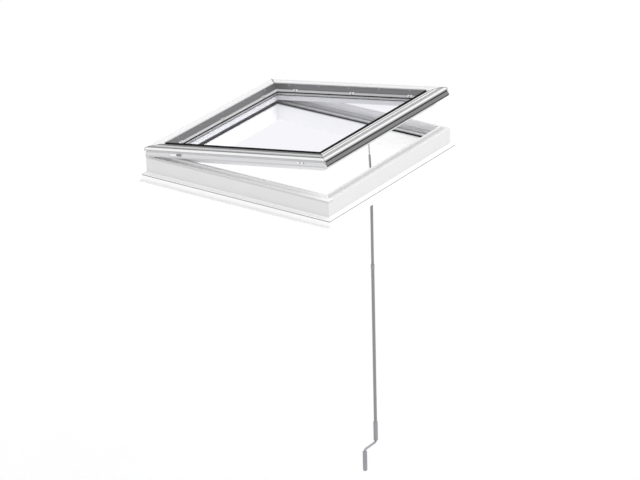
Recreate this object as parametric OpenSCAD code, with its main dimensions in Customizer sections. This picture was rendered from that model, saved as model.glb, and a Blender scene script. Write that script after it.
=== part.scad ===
// Roof skylight: an upstand kerb, a hinged glazed sash, a screw opener and a
// telescopic crank rod. All sizes are in millimetres and degrees.
// The origin is the centre of the kerb's underside. +Z is up, the hinges are
// at +Y and the opener is at -Y. The sash is drawn raised by open_angle.
// Section profiles are given as (inset from the kerb's outer face, height).

/* [Kerb] */
// Outer width of the kerb, along the hinges
kerb_w = 1200; // [900:10:1500]
// Outer depth of the kerb, from the hinges to the opening side
kerb_d = 1200; // [900:10:1500]
// Height of the kerb profile from its underside to its shoulder
kerb_h = 106; // [96:1:140]
// Thickness of the kerb from its outer face to its inner face
kerb_wall = 112; // [106:1:125]
// Height of the inner ledge above the kerb's underside
ledge_h = 60; // [50:1:70]
// Wall of the hollow plastic profiles
pvc_t = 4; // [3:0.5:5]
// Radius of the rounded shoulder
shoulder_r = 8; // [5:1:12]
// Radius of the cove that leads out to the flange
cove_r = 16; // [10:1:18]
// How far the flange reaches out from the kerb's face
flange_out = 19; // [18:1:26]
// Thickness of the flange
flange_t = 3; // [2:0.5:5]
// Inset of the raised lip from the kerb's outer face
lip_in = 30; // [26:1:34]
// Width of the raised lip
lip_w = 15; // [12:1:18]
// Height of the raised lip above the shoulder
lip_h = 12; // [8:1:14]

/* [Plinth] */
// Height of the plinth
plinth_h = 38; // [30:1:80]
// How far the foot plate reaches out from the kerb's face
foot_out = 34; // [32:1:60]
// Thickness of the foot plate
foot_t = 4; // [3:0.5:6]
// Diameter of the roof fixing holes
fixing_d = 5.5; // [4.5:0.5:6.5]
// Distance from the foot plate's edge to the centre of a fixing hole
fixing_edge = 7; // [6:0.5:8]
// Distance from the kerb's corner to the outer fixing holes of a side
fixing_end = 150; // [100:10:200]
// Thickness of the sealing tape between plinth and kerb
tape_t = 4; // [1:0.5:5]
// Width of the sealing tape
tape_w = 30; // [20:1:40]
// How far the tape stands out beyond the flange
tape_proud = 0.5; // [0:0.1:1]

/* [Sash] */
// Angle by which the sash is raised
open_angle = 9.08; // [4:0.01:10]
// Inset of the rear skirt from the kerb's outer face
skirt_in = 5; // [4:0.5:8]
// Gap between the kerb's shoulder and the skirt when closed
skirt_gap = 2; // [1.5:0.5:6]
// Height of the cover profile, from skirt foot to rim
skirt_h = 47; // [46:1:55]
// Width of the rim, seen from above
rim_w = 74; // [70:1:78]
// Wall of the cover profile
cover_t = 2.5; // [2:0.1:3]
// How far the rounded band reaches out beyond the kerb's outer face
band_out = 4; // [2:0.5:6]
// Radius of the rounded band between rim and skirt
band_r = 12; // [8:0.5:14]
// Height of the band's upright part
band_h = 5; // [3:0.5:8]
// Height of the groove under the band
groove_h = 7; // [4:0.5:9]
// How far the foot of the flared skirts reaches out beyond the kerb's outer face
flare_out = 13; // [9:0.5:16]
// Height of the fold along the skirt's foot
foot_fold_h = 3; // [2:0.5:4]
// Number of ribs on the rim
rib_n = 5; // [3:1:6]
// Width of a rib
rib_w = 2; // [1:0.1:2.5]
// Distance between ribs
rib_pitch = 4; // [3:0.5:5]
// Height of a rib
rib_h = 1; // [0.5:0.1:2]
// Distance from the band to the first rib
rib_start = 4; // [2:1:14]
// Width of the drip groove on the rim
drip_w = 3; // [2:0.5:4]
// Depth of the drip groove on the rim
drip_h = 1; // [0.5:0.1:1.5]
// Distance from the rim's inner edge to the drip groove
drip_in = 27.5; // [14:0.5:32]
// Width of the gasket along the rim's inner edge
rim_gasket_w = 5; // [3:0.5:6]
// Height of that gasket
rim_gasket_h = 4; // [1:0.5:5]
// Gap between the kerb's lip and the body of the sash
sash_gap = 4; // [3:0.5:6]
// Width of the sash body
sash_w = 66; // [60:1:66]
// Gap between ledge and sash body, which the seals fill
seat_gap = 8; // [6:0.5:10]
// Depth of the space between rim and sash frame, which the corner keys fill
key_t = 3.5; // [2.5:0.5:4]
// Thickness of the sash frame's outer arm
arm_t = 15; // [12:1:16]
// Leg length of a corner key
key_leg = 60; // [40:5:80]
// Width of a corner key's leg
key_w = 30; // [20:1:34]

/* [Glazing] */
// Thickness of one glass pane
pane_t = 4; // [3:1:5]
// Space between the panes
air_gap = 16; // [12:1:16]
// Depth of the outer glass face below the rim
glass_drop = 35; // [34:1:37]
// Width of the shoulder that carries the glass
rebate_w = 18; // [15:1:20]
// Free gap around the edge of the glass
edge_gap = 3; // [2:0.5:4]
// Width of the spacer frame
spacer_w = 8; // [6:1:10]
// Inset of the spacer frame from the edge of the glass
spacer_in = 4; // [3:0.5:5]
// Thickness of the gasket under the glass
rest_gasket_t = 2; // [1.5:0.5:3]
// Thickness of the gasket on the glass
top_gasket_t = 3; // [2:0.5:4]
// Thickness of the dark inner trim
trim_t = 2.5; // [2:0.1:3]
// How far the trim reaches in beyond the rim
trim_run = 34; // [30:1:36]
// How far the trim falls over its width
trim_fall = 17; // [15:0.5:18]
// How far the bead reaches in beyond the trim
bead_run = 11; // [8:1:12]
// How far the gasket shows beyond the bead
gasket_show = 3; // [2:0.5:5]
// Length of a setting block
block_l = 100; // [60:10:120]
// Distance from the kerb's corner to the middle of a setting block
block_end = 360; // [200:10:380]

/* [Small parts] */
// Distance from the kerb's corner to the outer trim screws of a side
trim_screw_end = 188; // [160:1:220]
// Distance from the rim's inner edge to the trim screws
trim_screw_in = 9; // [7:0.5:12]
// Head diameter of a trim screw
trim_screw_d = 9; // [7:0.5:11]
// Head height of a trim screw
trim_screw_h = 2; // [1:0.1:2.5]
// Distance from the kerb's corner to the outer glazing clips of a side, before their shift
clip_end = 210; // [180:5:260]
// How far each row of clips is shifted towards the front or the left
clip_shift = 40; // [0:5:60]
// Length of a glazing clip
clip_l = 28; // [16:1:34]
// Thickness of a glazing clip
clip_t = 1.5; // [1:0.1:2]
// Distance from the kerb's front corner to the front fitting on a side skirt
front_fitting_end = 155; // [140:1:220]
// Distance between the knobs of the front fitting
knob_pitch = 24; // [20:1:30]
// Diameter of a knob
knob_d = 12; // [10:0.5:13]
// Height of a knob
knob_h = 4; // [3:0.5:5]
// Diameter of a plug beside a knob
plug_d = 7; // [5:0.5:8]
// Height of a plug
plug_h = 1; // [0.8:0.1:1.5]
// Distance from the kerb's rear corner to the rear fitting on a side skirt
rear_fitting_end = 200; // [140:1:240]
// Length of the rear fitting's raised block
block_fitting_l = 40; // [30:1:44]
// Length of the pad beside that block
pad_l = 32; // [20:1:34]
// Width of that block and pad, up the skirt's face
block_fitting_h = 12; // [9:0.5:12]
// Distance of the fittings above the middle of the skirt's face
fitting_up = 5; // [0:0.5:6]

/* [Hinges] */
// Distance from the kerb's corner to the middle of a hinge
hinge_end = 220; // [180:5:260]
// Width of a hinge
hinge_w = 80; // [60:2:100]
// Distance of the hinge pin behind the kerb's face
hinge_out = 4; // [3.5:0.5:5]
// Height of the hinge pin above the shoulder
hinge_up = 5; // [4:0.5:8]
// Diameter of the hinge pin
hinge_pin_d = 6; // [5:0.5:7]
// Diameter of a hinge knuckle
knuckle_d = 12; // [11:0.5:12.5]
// Thickness of a hinge leaf
leaf_t = 3; // [2:0.5:3.5]
// Side gap between knuckles
knuckle_gap = 0.5; // [0.3:0.1:1]
// Height of the kerb's hinge leaf below the pin
kerb_leaf_h = 58; // [50:1:60]
// Height of the sash's hinge leaf above the pin
sash_leaf_h = 26; // [22:0.5:26]
// Distance from a leaf's side edge to its screws
leaf_screw_edge = 12; // [8:1:16]
// Distance from the kerb leaf's lower edge to its lower screws
leaf_screw_low = 10; // [8:1:12]
// Distance between the kerb leaf's two rows of screws
leaf_screw_rows = 24; // [20:1:26]
// Shank diameter of the fastening screws
screw_d = 4; // [3:0.5:5]
// Head diameter of the fastening screws
screw_head_d = 8; // [7:0.5:9]
// Head height of the fastening screws
screw_head_h = 2.4; // [1.5:0.1:3]
// Clearance of a screw in its hole
screw_fit = 0.1; // [0.05:0.05:0.3]

/* [Opener] */
// Height of the nut's pivot
nut_z = 60; // [55:1:66]
// Distance of the nut's pivot from the kerb's inner face
nut_out = 20; // [19:0.5:24]
// Width of the nut block
nut_w = 24; // [20:1:28]
// Depth of the nut block
nut_t = 18; // [17:0.5:20]
// Height of the nut block
nut_h = 24; // [20:1:28]
// Diameter of the nut's trunnions
trunnion_d = 8; // [6:0.5:10]
// Running clearance, on the radius, of shafts and sliding tubes
run_fit = 0.1; // [0.05:0.01:0.15]
// Thickness of the opener bracket
bracket_t = 3; // [2.5:0.5:4]
// Width of the opener bracket's plate
bracket_w = 64; // [56:1:80]
// Height of the opener bracket's plate
bracket_h = 42; // [34:1:46]
// How far the bracket's plate reaches below the nut's pivot
bracket_low = 30; // [26:1:34]
// Distance from the bracket's side edge to its screws
bracket_screw_edge = 8; // [6:0.5:10]
// Distance of the bracket's screws above and below the nut's pivot
bracket_screw_z = 10; // [9:0.5:12]
// Gap between the bracket's ears and the nut block
ear_fit = 0.4; // [0.3:0.1:0.8]
// Diameter of the spindle's outer stage
spindle_d = 12; // [10:0.5:12]
// Diameter of the spindle's inner stage
inner_stage_d = 7; // [6:0.5:7]
// Length of the outer stage
outer_stage_l = 141; // [130:1:145]
// How far the outer stage stands above the nut's pivot
outer_stage_up = 109; // [100:1:112]
// How far the inner stage stays inside the outer stage when raised
inner_stage_grip = 25; // [20:1:30]
// Distance of the spindle pin from the sash's inner face
pin_out = 21; // [18:0.5:24]
// Distance of the spindle pin below the sash body when closed
pin_drop = 3; // [2:0.5:4]
// Diameter of the spindle pin
spindle_pin_d = 6; // [5:0.5:6]
// Length of the slot that the spindle pin runs in
pin_slot_l = 13; // [12:0.5:14]
// Free height of that slot around the pin, on each side
pin_slot_gap = 1.2; // [0.8:0.1:1.5]
// Offset of the slot's middle from the pin, away from the sash's edge
pin_slot_shift = 2.4; // [2:0.1:3]
// Width between the sash bracket's ears
ear_gap = 12; // [11:0.5:16]
// Width of the sash bracket's plate
sash_bracket_w = 56; // [50:1:70]
// Distance of the sash bracket's screws from its middle
sash_screw_x = 20; // [18:0.5:24]
// Height of the sash bracket's screws above the sash's underside
sash_screw_z = 13; // [10:0.5:16]
// Wire diameter of the drive eye
eye_wire_d = 5; // [4:0.5:5]
// Centre-line diameter of the drive eye
eye_d = 19; // [18:0.5:22]

/* [Crank rod] */
// Wire diameter of the hook
hook_wire_d = 6; // [5:0.5:6]
// Free gap between hook and eye
hook_gap = 0.5; // [0.4:0.1:1]
// Length of the hook's open end below its bend
hook_tip = 6; // [4:0.5:8]
// Length of the hook's straight part below its bend
hook_neck = 8; // [6:0.5:9]
// Distance from the hook's pivot to the top of the upper tube
hook_drop = 24; // [22:1:30]
// Length of the hook's plug inside the upper tube
hook_plug_l = 20; // [15:1:30]
// Height of the cone on the upper tube's end
hook_cone_h = 6; // [4:0.5:8]
// Diameter of the upper tube
upper_tube_d = 15.5; // [14:0.1:16]
// Wall of both tubes
tube_t = 1.2; // [1:0.1:1.5]
// Length of upper tube that shows
upper_show_l = 462; // [430:1:520]
// Length of upper tube inside the lower tube
overlap_l = 120; // [80:5:160]
// Length of the lower tube
lower_tube_l = 964; // [900:1:1100]
// Height of the collar at the joint of the tubes
collar_h = 24; // [16:1:30]
// Wall of the collar
collar_t = 1.3; // [1:0.1:3]
// Diameter of the crank's bar
crank_d = 13; // [12:0.5:14]
// Sideways throw of the crank
crank_throw = 112; // [80:1:130]
// Centre-line radius of the crank's bends
crank_bend_r = 11; // [10:0.5:16]
// Length of the crank's plug inside the lower tube
plug_l = 40; // [25:1:60]
// Diameter of the grips
grip_d = 25; // [22:0.5:28]
// Length of the upper grip
upper_grip_l = 116; // [90:1:130]
// Length of the handle grip
handle_l = 114; // [90:1:130]
// Gap at each end of a grip
grip_gap = 0.4; // [0.3:0.1:1]
// Height of the end cap
cap_h = 5; // [4:0.5:8]

/* [Hidden] */

// Smoothness of shafts, bores and arcs
$fn = 48;
// How far a cutting shape passes through a face
cut = 1;
// Mitre gap between separate bars, on each side of the joint
mitre_gap = 0.15;
// Reach of the mitre cut outside and inside the kerb's outer face
mitre_out = 60;
mitre_in = 240;
mitre_top = 260;

// Inset of the groove under the band from the kerb's outer face
groove_in = 1;
// Width of the fold along the skirt's foot, beyond its wall
foot_fold_t = 1.5;
// Room between the rear skirt and the sash frame's outer arm
arm_room = 4.5;
// Gap between pieces that lie side by side on the sash
seat_fit = 0.3;
// Wall of the eyes and noses around pins
nose_wall = 4;
// Share of the bead's shown width that is nearly flat, and how far it falls there
bead_flat = 0.6;
bead_fall = 2.5;
// Height of the bead's upright inner edge
bead_foot_h = 2;
// Share of the bead's slope that a clip reaches down
clip_reach = 0.75;
// Width of the ledge's lip seals, thickness of their foot and how far they stay below the sash
seal_w = 10;
seal_foot_t = 2;
seal_free = 0.5;
// Distance of the rebate seal from the sash body's outer face
seal_room = 3;
// Clearance between the sash leaf's plate and the knuckles
leaf_room = 2;

// Half the length of a side, from the middle to the kerb's corner
function half_side(side) = (side % 2 == 0 ? kerb_w : kerb_d) / 2;

// Heights and insets that follow from the sizes above
kerb_z = plinth_h + tape_t;
shoulder_z = kerb_z + kerb_h;
lip_z = shoulder_z + lip_h;
ledge_z = kerb_z + ledge_h;
lip_back = lip_in + lip_w;
skirt_z = shoulder_z + skirt_gap;
rim_z = skirt_z + skirt_h;
rim_in = skirt_in + rim_w;
band_top_in = band_r - band_out;
band_z = rim_z - band_r;
band_foot = band_z - band_h;
flare_z = band_foot - groove_h;
flare_angle = atan2(flare_out - band_out, flare_z - skirt_z);
groove_back = groove_in + cover_t;
arm_in = skirt_in + cover_t + arm_room;
sash_out = lip_back + sash_gap;
sash_in = sash_out + sash_w;
sash_z = ledge_z + seat_gap;
frame_top = rim_z - cover_t - key_t;
arm_z = frame_top - arm_t;
glass_top = rim_z - glass_drop;
glass_bottom = glass_top - 2 * pane_t - air_gap;
rebate_in = sash_in - rebate_w;
glass_in = rebate_in + edge_gap;
trim_in = rim_in + trim_run;
bead_in = trim_in + bead_run;
trim_slope = trim_fall / trim_run;
bead_low = glass_top + top_gasket_t;
bead_top = trim_under(trim_in);
bead_edge_in = trim_in + bead_run * bead_flat;
bead_edge_z = bead_top - bead_fall;
bead_foot_z = bead_low + bead_foot_h;

// Inner faces of kerb and sash on the opening side
kerb_inner_y = -kerb_d / 2 + kerb_wall;
sash_inner_y = -kerb_d / 2 + sash_in;

// Hinge line
hinge_x = kerb_w / 2 - hinge_end;
hinge_y = kerb_d / 2 + hinge_out;
hinge_z = shoulder_z + hinge_up;
knuckle_r = knuckle_d / 2;
sash_leaf_y = kerb_d / 2 - skirt_in;
sash_leaf_z = hinge_z + knuckle_r + leaf_room;

// Spindle pin with the sash closed, then raised
pin_y = sash_inner_y + pin_out;
pin_z = sash_z - pin_drop;
slot_y = pin_y + pin_slot_shift;
pin_up_y = hinge_y + (pin_y - hinge_y) * cos(open_angle) + (pin_z - hinge_z) * sin(open_angle);
pin_up_z = hinge_z - (pin_y - hinge_y) * sin(open_angle) + (pin_z - hinge_z) * cos(open_angle);

// Spindle line, from the nut's pivot to the raised pin
nut_y = kerb_inner_y + nut_out;
lean = atan2(pin_up_y - nut_y, pin_up_z - nut_z);
spindle_l = norm([pin_up_y - nut_y, pin_up_z - nut_z]);
outer_stage_down = outer_stage_l - outer_stage_up;
bore_r = inner_stage_d / 2 + run_fit;
inner_stage_low = outer_stage_up - inner_stage_grip;
pin_eye_r = spindle_pin_d / 2 + nose_wall - 1;
eye_collar_h = 4;
eye_shank_l = 12;
eye_gap = 0.3;
eye_neck = 3;
eye_centre = outer_stage_down + eye_gap + eye_collar_h + eye_neck + eye_d / 2;
hook_s = eye_centre + eye_d / 2;

// The rod hangs plumb from the middle of the drive eye's lower wire
rod_y = nut_y - hook_s * sin(lean);
hook_z = nut_z - hook_s * cos(lean);
hook_r = eye_wire_d / 2 + hook_gap + hook_wire_d / 2;
rod_top = hook_z - hook_drop;
joint_z = rod_top - upper_show_l;
lower_end = joint_z - lower_tube_l;
lower_tube_r = upper_tube_d / 2 + run_fit + tube_t;
lower_bore_r = upper_tube_d / 2 + run_fit;
stop_h = 3;
end_r = 2;
upper_grip_top = lower_end - stop_h - grip_gap;
upper_grip_low = upper_grip_top - upper_grip_l;
arm_top = upper_grip_low - grip_gap;
handle_top = arm_top - 2 * crank_bend_r - grip_gap;
handle_low = handle_top - handle_l;
bar_end = handle_low - grip_gap;

// Mitred bars and frames

// One straight bar along a side of the kerb: 0 front, 1 right, 2 rear, 3 left
module bar(side, gap = 0) {
    on_side(side)
        intersection() {
            rotate([90, 0, 90])
                linear_extrude(2 * (half_side(side) + mitre_out), center = true)
                    children();
            mitre_wedge(half_side(side), gap);
        }
}

// Trapezium that cuts both ends of a bar at 45 degrees
module mitre_wedge(half, gap) {
    translate([0, 0, -cut])
        linear_extrude(mitre_top)
            polygon([
                [-half - mitre_out + gap, -mitre_out],
                [half + mitre_out - gap, -mitre_out],
                [half - mitre_in - gap, mitre_in],
                [-half + mitre_in + gap, mitre_in]
            ]);
}

// A whole frame, welded from four bars
module frame_ring() {
    for (side = [0:3]) bar(side) children();
}

// The raised position of everything that belongs to the sash
module raised() {
    translate([0, hinge_y, hinge_z])
        rotate([-open_angle, 0, 0])
            translate([0, -hinge_y, -hinge_z])
                children();
}

// Puts a part on each side of the frame, with its origin on the kerb's outer face
module on_side(side) {
    rotate([0, 0, 90 * side])
        translate([0, -half_side(side + 1), 0])
            children();
}

// A flat rectangle given by its insets and heights
module box2(t0, z0, t1, z1) {
    translate([t0, z0]) square([t1 - t0, z1 - z0]);
}

// Rod along X, centred
module x_rod(d, l) {
    rotate([0, 90, 0]) cylinder(d = d, h = l, center = true);
}

// Screw along -Y with its head on the plane y = 0 and its shank going to +Y
module screw(shank) {
    rotate([90, 0, 0]) cylinder(d = screw_head_d, h = screw_head_h);
    rotate([-90, 0, 0]) cylinder(d = screw_d, h = shank);
}

// Kerb and plinth

module kerb_outline() {
    difference() {
        union() {
            box2(-flange_out, kerb_z, 0, kerb_z + flange_t);
            box2(0, kerb_z, lip_back, shoulder_z - shoulder_r);
            box2(shoulder_r, kerb_z, lip_back, shoulder_z);
            translate([shoulder_r, shoulder_z - shoulder_r]) circle(shoulder_r);
            box2(lip_in, kerb_z, lip_back, lip_z);
            box2(0, kerb_z, kerb_wall, ledge_z);
            difference() {
                box2(-cove_r, kerb_z, 0, kerb_z + flange_t + cove_r);
                translate([-cove_r, kerb_z + flange_t + cove_r]) circle(cove_r);
            }
        }
        polygon([
            [lip_in - cut, lip_z + cut], [lip_in - cut, lip_z - 2], [lip_in, lip_z - 2],
            [lip_in + 2, lip_z], [lip_in + 2, lip_z + cut]
        ]);
    }
}

// Chambers of the kerb profile, open at its underside
module kerb_chambers() {
    web = lip_back - pvc_t;
    box2(pvc_t, kerb_z - cut, web, shoulder_z - shoulder_r);
    box2(shoulder_r + pvc_t, kerb_z - cut, web, shoulder_z - pvc_t);
    box2(lip_in + pvc_t, kerb_z - cut, web, lip_z - pvc_t);
    box2(lip_back, kerb_z - cut, kerb_wall - pvc_t, ledge_z - pvc_t);
}

module kerb_frame() {
    color("whitesmoke")
        difference() {
            frame_ring()
                difference() {
                    kerb_outline();
                    kerb_chambers();
                }
            opener_screw_places()
                rotate([-90, 0, 0])
                    translate([0, 0, -pvc_t - cut])
                        cylinder(d = screw_d + 2 * screw_fit, h = pvc_t + 2 * cut);
            kerb_leaf_screw_places()
                rotate([90, 0, 0])
                    translate([0, 0, -cut])
                        cylinder(d = screw_d + 2 * screw_fit, h = pvc_t + 2 * cut);
        }
}

// Centres of the fixing holes, three on each side
module fixing_places() {
    for (side = [0:3])
        on_side(side)
            for (i = [-1:1])
                translate([i * (half_side(side) - fixing_end), fixing_edge - foot_out, 0])
                    children();
}

module base_plinth() {
    chamber_n = 3;
    chamber_w = (flange_out + kerb_wall - (chamber_n + 1) * pvc_t) / chamber_n;
    color("white")
        difference() {
            frame_ring()
                difference() {
                    union() {
                        box2(-foot_out, 0, 0, foot_t);
                        box2(-flange_out, 0, kerb_wall, plinth_h);
                    }
                    for (i = [0:chamber_n - 1])
                        translate([pvc_t - flange_out + i * (chamber_w + pvc_t), -cut])
                            square([chamber_w, plinth_h - pvc_t + cut]);
                }
            fixing_places()
                translate([0, 0, -cut])
                    cylinder(d = fixing_d, h = foot_t + 2 * cut);
        }
}

module base_tape() {
    tape_out = flange_out + tape_proud;
    color("gray")
        frame_ring() {
            box2(-tape_out, plinth_h, tape_w - tape_out, kerb_z);
            box2(kerb_wall - tape_w, plinth_h, kerb_wall, kerb_z);
        }
}

// Lip seal with a foot on the ledge and a soft crown that the sash presses
module seal_profile(t0, width, height) {
    crown = width / 2;
    box2(t0, ledge_z, t0 + width, ledge_z + seal_foot_t);
    box2(t0 + width / 4, ledge_z, t0 + width * 3 / 4, ledge_z + height - crown / 2);
    translate([t0 + crown, ledge_z + height - crown / 2]) circle(crown / 2);
}

module rebate_seal() {
    color("black") frame_ring() seal_profile(sash_out + seal_room, seal_w, seat_gap - seal_free);
}

module inner_edge_seal() {
    color("black") frame_ring() seal_profile(kerb_wall - seal_w, seal_w, seat_gap - seal_free);
}

// Sash frame and cover

module sash_outline() {
    slope_start = rim_in + (key_t + cover_t - trim_t) / trim_slope;
    polygon([
        [arm_in, arm_z], [arm_in, frame_top],
        [slope_start, frame_top], [rebate_in, trim_under(rebate_in)],
        [rebate_in, glass_bottom - rest_gasket_t], [sash_in, glass_bottom - rest_gasket_t],
        [sash_in, sash_z], [sash_out, sash_z], [sash_out, arm_z]
    ]);
}

// Height of the trim's underside at a given inset
function trim_under(t) = rim_z - trim_t - (t - rim_in) * trim_slope;

module sash_chambers() {
    low_top = glass_bottom - rest_gasket_t - pvc_t;
    box2(sash_out + pvc_t, sash_z + pvc_t, sash_in - pvc_t, low_top);
    box2(sash_out + pvc_t, low_top + pvc_t, rebate_in - pvc_t, arm_z);
    box2(arm_in + pvc_t, arm_z + pvc_t, rebate_in - 3 * pvc_t, frame_top - pvc_t);
}

module sash_frame() {
    color("whitesmoke")
        raised()
            difference() {
                frame_ring()
                    difference() {
                        sash_outline();
                        sash_chambers();
                    }
                sash_bracket_screw_places()
                    rotate([-90, 0, 0])
                        translate([0, 0, -pvc_t - cut])
                            cylinder(d = screw_d + 2 * screw_fit, h = pvc_t + 2 * cut);
            }
}

// Ribbed rim with its inner return, its rounded band and the lip under the band
module rim_profile() {
    intersection() {
        difference() {
            translate([band_top_in, band_z]) circle(band_r);
            translate([band_top_in, band_z]) circle(band_r - cover_t);
        }
        box2(-band_out, band_z, band_top_in, rim_z);
    }
    box2(-band_out, band_foot, cover_t - band_out, band_z);
    box2(-band_out, band_foot, skirt_in + cover_t, band_foot + cover_t);
    difference() {
        box2(band_top_in, rim_z - cover_t, rim_in, rim_z);
        box2(rim_in - drip_in - drip_w, rim_z - drip_h, rim_in - drip_in, rim_z + cut);
    }
    for (i = [0:rib_n - 1])
        translate([band_top_in + rib_start + i * rib_pitch, rim_z - cover_t])
            square([rib_w, cover_t + rib_h]);
    box2(rim_in - cover_t, frame_top, rim_in, rim_z);
}

// Upright skirt of the rear cover, which carries the hinges, with a folded foot
module rear_skirt_profile() {
    box2(skirt_in, skirt_z, skirt_in + cover_t, band_foot);
    box2(skirt_in - foot_fold_t, skirt_z, skirt_in + cover_t, skirt_z + foot_fold_h);
}

// Groove wall and flared skirt of the other covers, with a folded foot
module flared_skirt_profile() {
    box2(groove_in, flare_z - cover_t, groove_back, band_foot);
    polygon([
        [-band_out, flare_z], [groove_back, flare_z], [groove_back, flare_z - cover_t],
        [cover_t - band_out, flare_z - cover_t], [cover_t - flare_out, skirt_z],
        [-flare_out, skirt_z]
    ]);
    box2(-flare_out, skirt_z, cover_t + foot_fold_t - flare_out, skirt_z + foot_fold_h);
}

// A straight length along one side with square ends, each inset from the kerb's corner
module square_bar(side, start_in, end_in) {
    on_side(side)
        translate([start_in - half_side(side), 0, 0])
            rotate([90, 0, 90])
                linear_extrude(2 * half_side(side) - start_in - end_in)
                    children();
}

// The front skirt lies between the two side skirts
module cover(side) {
    color(side == 0 ? "dimgray" : "silver")
        raised() {
            bar(side, mitre_gap) rim_profile();
            if (side == 0)
                square_bar(side, groove_back + seat_fit, groove_back + seat_fit) flared_skirt_profile();
            if (side == 1)
                square_bar(side, -band_out, skirt_in) flared_skirt_profile();
            if (side == 2)
                rear_skirt();
            if (side == 3)
                square_bar(side, skirt_in, -band_out) flared_skirt_profile();
        }
}

module rear_skirt() {
    difference() {
        square_bar(2, skirt_in, skirt_in) rear_skirt_profile();
        sash_leaf_screw_places()
            rotate([90, 0, 0])
                cylinder(d = screw_d + 2 * screw_fit, h = leaf_t + cover_t + cut);
    }
}

module cover_front() cover(0);
module cover_right() cover(1);
module cover_rear() cover(2);
module cover_left() cover(3);

// Flat angles that join the covers under each mitre
module corner_keys() {
    key_in = arm_in + seat_fit;
    color("silver")
        raised()
            for (sx = [-1, 1], sy = [-1, 1])
                translate([sx * (kerb_w / 2 - key_in), sy * (kerb_d / 2 - key_in), frame_top])
                    mirrored_corner(sx, sy)
                        linear_extrude(key_t) {
                            square([key_leg, key_w]);
                            square([key_w, key_leg]);
                        }
}

// Mirrors a corner part so that it lies inside the corner (sx, sy)
module mirrored_corner(sx, sy) {
    mirror([sx > 0 ? 1 : 0, 0, 0]) mirror([0, sy > 0 ? 1 : 0, 0]) children();
}

// Wedge that rises towards the rim's inner edge
module rim_gasket() {
    color("black")
        raised()
            frame_ring()
                polygon([
                    [rim_in - rim_gasket_w, rim_z], [rim_in, rim_z + rim_gasket_h], [rim_in, rim_z]
                ]);
}

// Inner trims, beads and glass

module trim_profile() {
    polygon([
        [rim_in, rim_z], [trim_in, rim_z - trim_fall],
        [trim_in, trim_under(trim_in)], [rim_in, rim_z - trim_t]
    ]);
}

module inner_trim(side) {
    color("dimgray")
        raised()
            difference() {
                bar(side, mitre_gap) trim_profile();
                on_side(side) trim_screw_row(side) translate([0, 0, -trim_t - cut])
                    cylinder(d = screw_d + 2 * screw_fit, h = trim_t + 2 * cut);
            }
}

// Five screw places near the upper edge of a trim, each square to its slope
module trim_screw_row(side) {
    inset = rim_in + trim_screw_in;
    for (i = [-2:2])
        translate([i * (half_side(side) - trim_screw_end) / 2, inset, trim_under(inset) + trim_t])
            rotate([-atan(trim_slope), 0, 0])
                children();
}

module inner_trim_front() inner_trim(0);
module inner_trim_right() inner_trim(1);
module inner_trim_rear() inner_trim(2);
module inner_trim_left() inner_trim(3);

module trim_screws() {
    shank = trim_t * cos(atan(trim_slope));
    color("lightgray")
        raised()
            for (side = [0:3])
                on_side(side)
                    trim_screw_row(side) {
                        cylinder(d = trim_screw_d, h = trim_screw_h);
                        translate([0, 0, -shank]) cylinder(d = screw_d, h = shank + 1);
                    }
}

module bead_profile() {
    polygon([
        [rebate_in + seat_fit, bead_low], [rebate_in + seat_fit, bead_top], [trim_in, bead_top],
        [bead_edge_in, bead_edge_z], [bead_in, bead_foot_z], [bead_in, bead_low]
    ]);
}

module glazing_bead(side) {
    color("darkgray") raised() bar(side, mitre_gap) bead_profile();
}

module glazing_bead_front() glazing_bead(0);
module glazing_bead_right() glazing_bead(1);
module glazing_bead_rear() glazing_bead(2);
module glazing_bead_left() glazing_bead(3);

// Clips that hold the beads down, each from the trim's lower edge over the bead's slope
module glazing_clips() {
    low_in = bead_edge_in + (bead_in - bead_edge_in) * clip_reach;
    low_z = bead_edge_z + (bead_foot_z - bead_edge_z) * clip_reach;
    color("white")
        raised()
            for (side = [0:3])
                on_side(side)
                    for (i = [-1:1])
                        translate([i * (half_side(side) - clip_end) + clip_way(side) * clip_shift, 0, 0])
                            rotate([90, 0, 90])
                                linear_extrude(clip_l, center = true)
                                    polygon([
                                        [trim_in, bead_top], [trim_in, bead_top + clip_t],
                                        [bead_edge_in + 1, bead_edge_z + clip_t],
                                        [low_in + clip_t, low_z + 0.5], [low_in, low_z],
                                        [bead_edge_in, bead_edge_z]
                                    ]);
}

// Which way a side's own x axis takes its clips to the front or the left
function clip_way(side) = side < 2 ? -1 : 1;

module glazing_gasket() {
    color("black")
        raised()
            frame_ring() box2(glass_in, glass_top, bead_in + gasket_show, glass_top + top_gasket_t);
}

module pane(z) {
    translate([-kerb_w / 2 + glass_in, -kerb_d / 2 + glass_in, z])
        cube([kerb_w - 2 * glass_in, kerb_d - 2 * glass_in, pane_t]);
}

module outer_pane() {
    color("lavender", 0.4) raised() pane(glass_top - pane_t);
}

module inner_pane() {
    color("lavender", 0.4) raised() pane(glass_bottom);
}

module spacer_frame() {
    t0 = glass_in + spacer_in;
    color("silver")
        raised()
            frame_ring() box2(t0, glass_bottom + pane_t, t0 + spacer_w, glass_top - pane_t);
}

module edge_sealant() {
    color("black")
        raised()
            frame_ring()
                box2(glass_in, glass_bottom + pane_t, glass_in + spacer_in, glass_top - pane_t);
}

module rest_gasket() {
    color("black")
        raised()
            frame_ring() box2(glass_in, glass_bottom - rest_gasket_t, sash_in, glass_bottom);
}

// Blocks that keep the glass centred, two on each side
module setting_blocks() {
    block_h = 2 * pane_t + air_gap;
    color("dimgray")
        raised()
            for (side = [0:3])
                on_side(side)
                    for (sx = [-1, 1])
                        translate([
                            sx * (half_side(side) - block_end) - block_l / 2, rebate_in, glass_bottom
                        ])
                            cube([block_l, edge_gap, block_h]);
}

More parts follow.
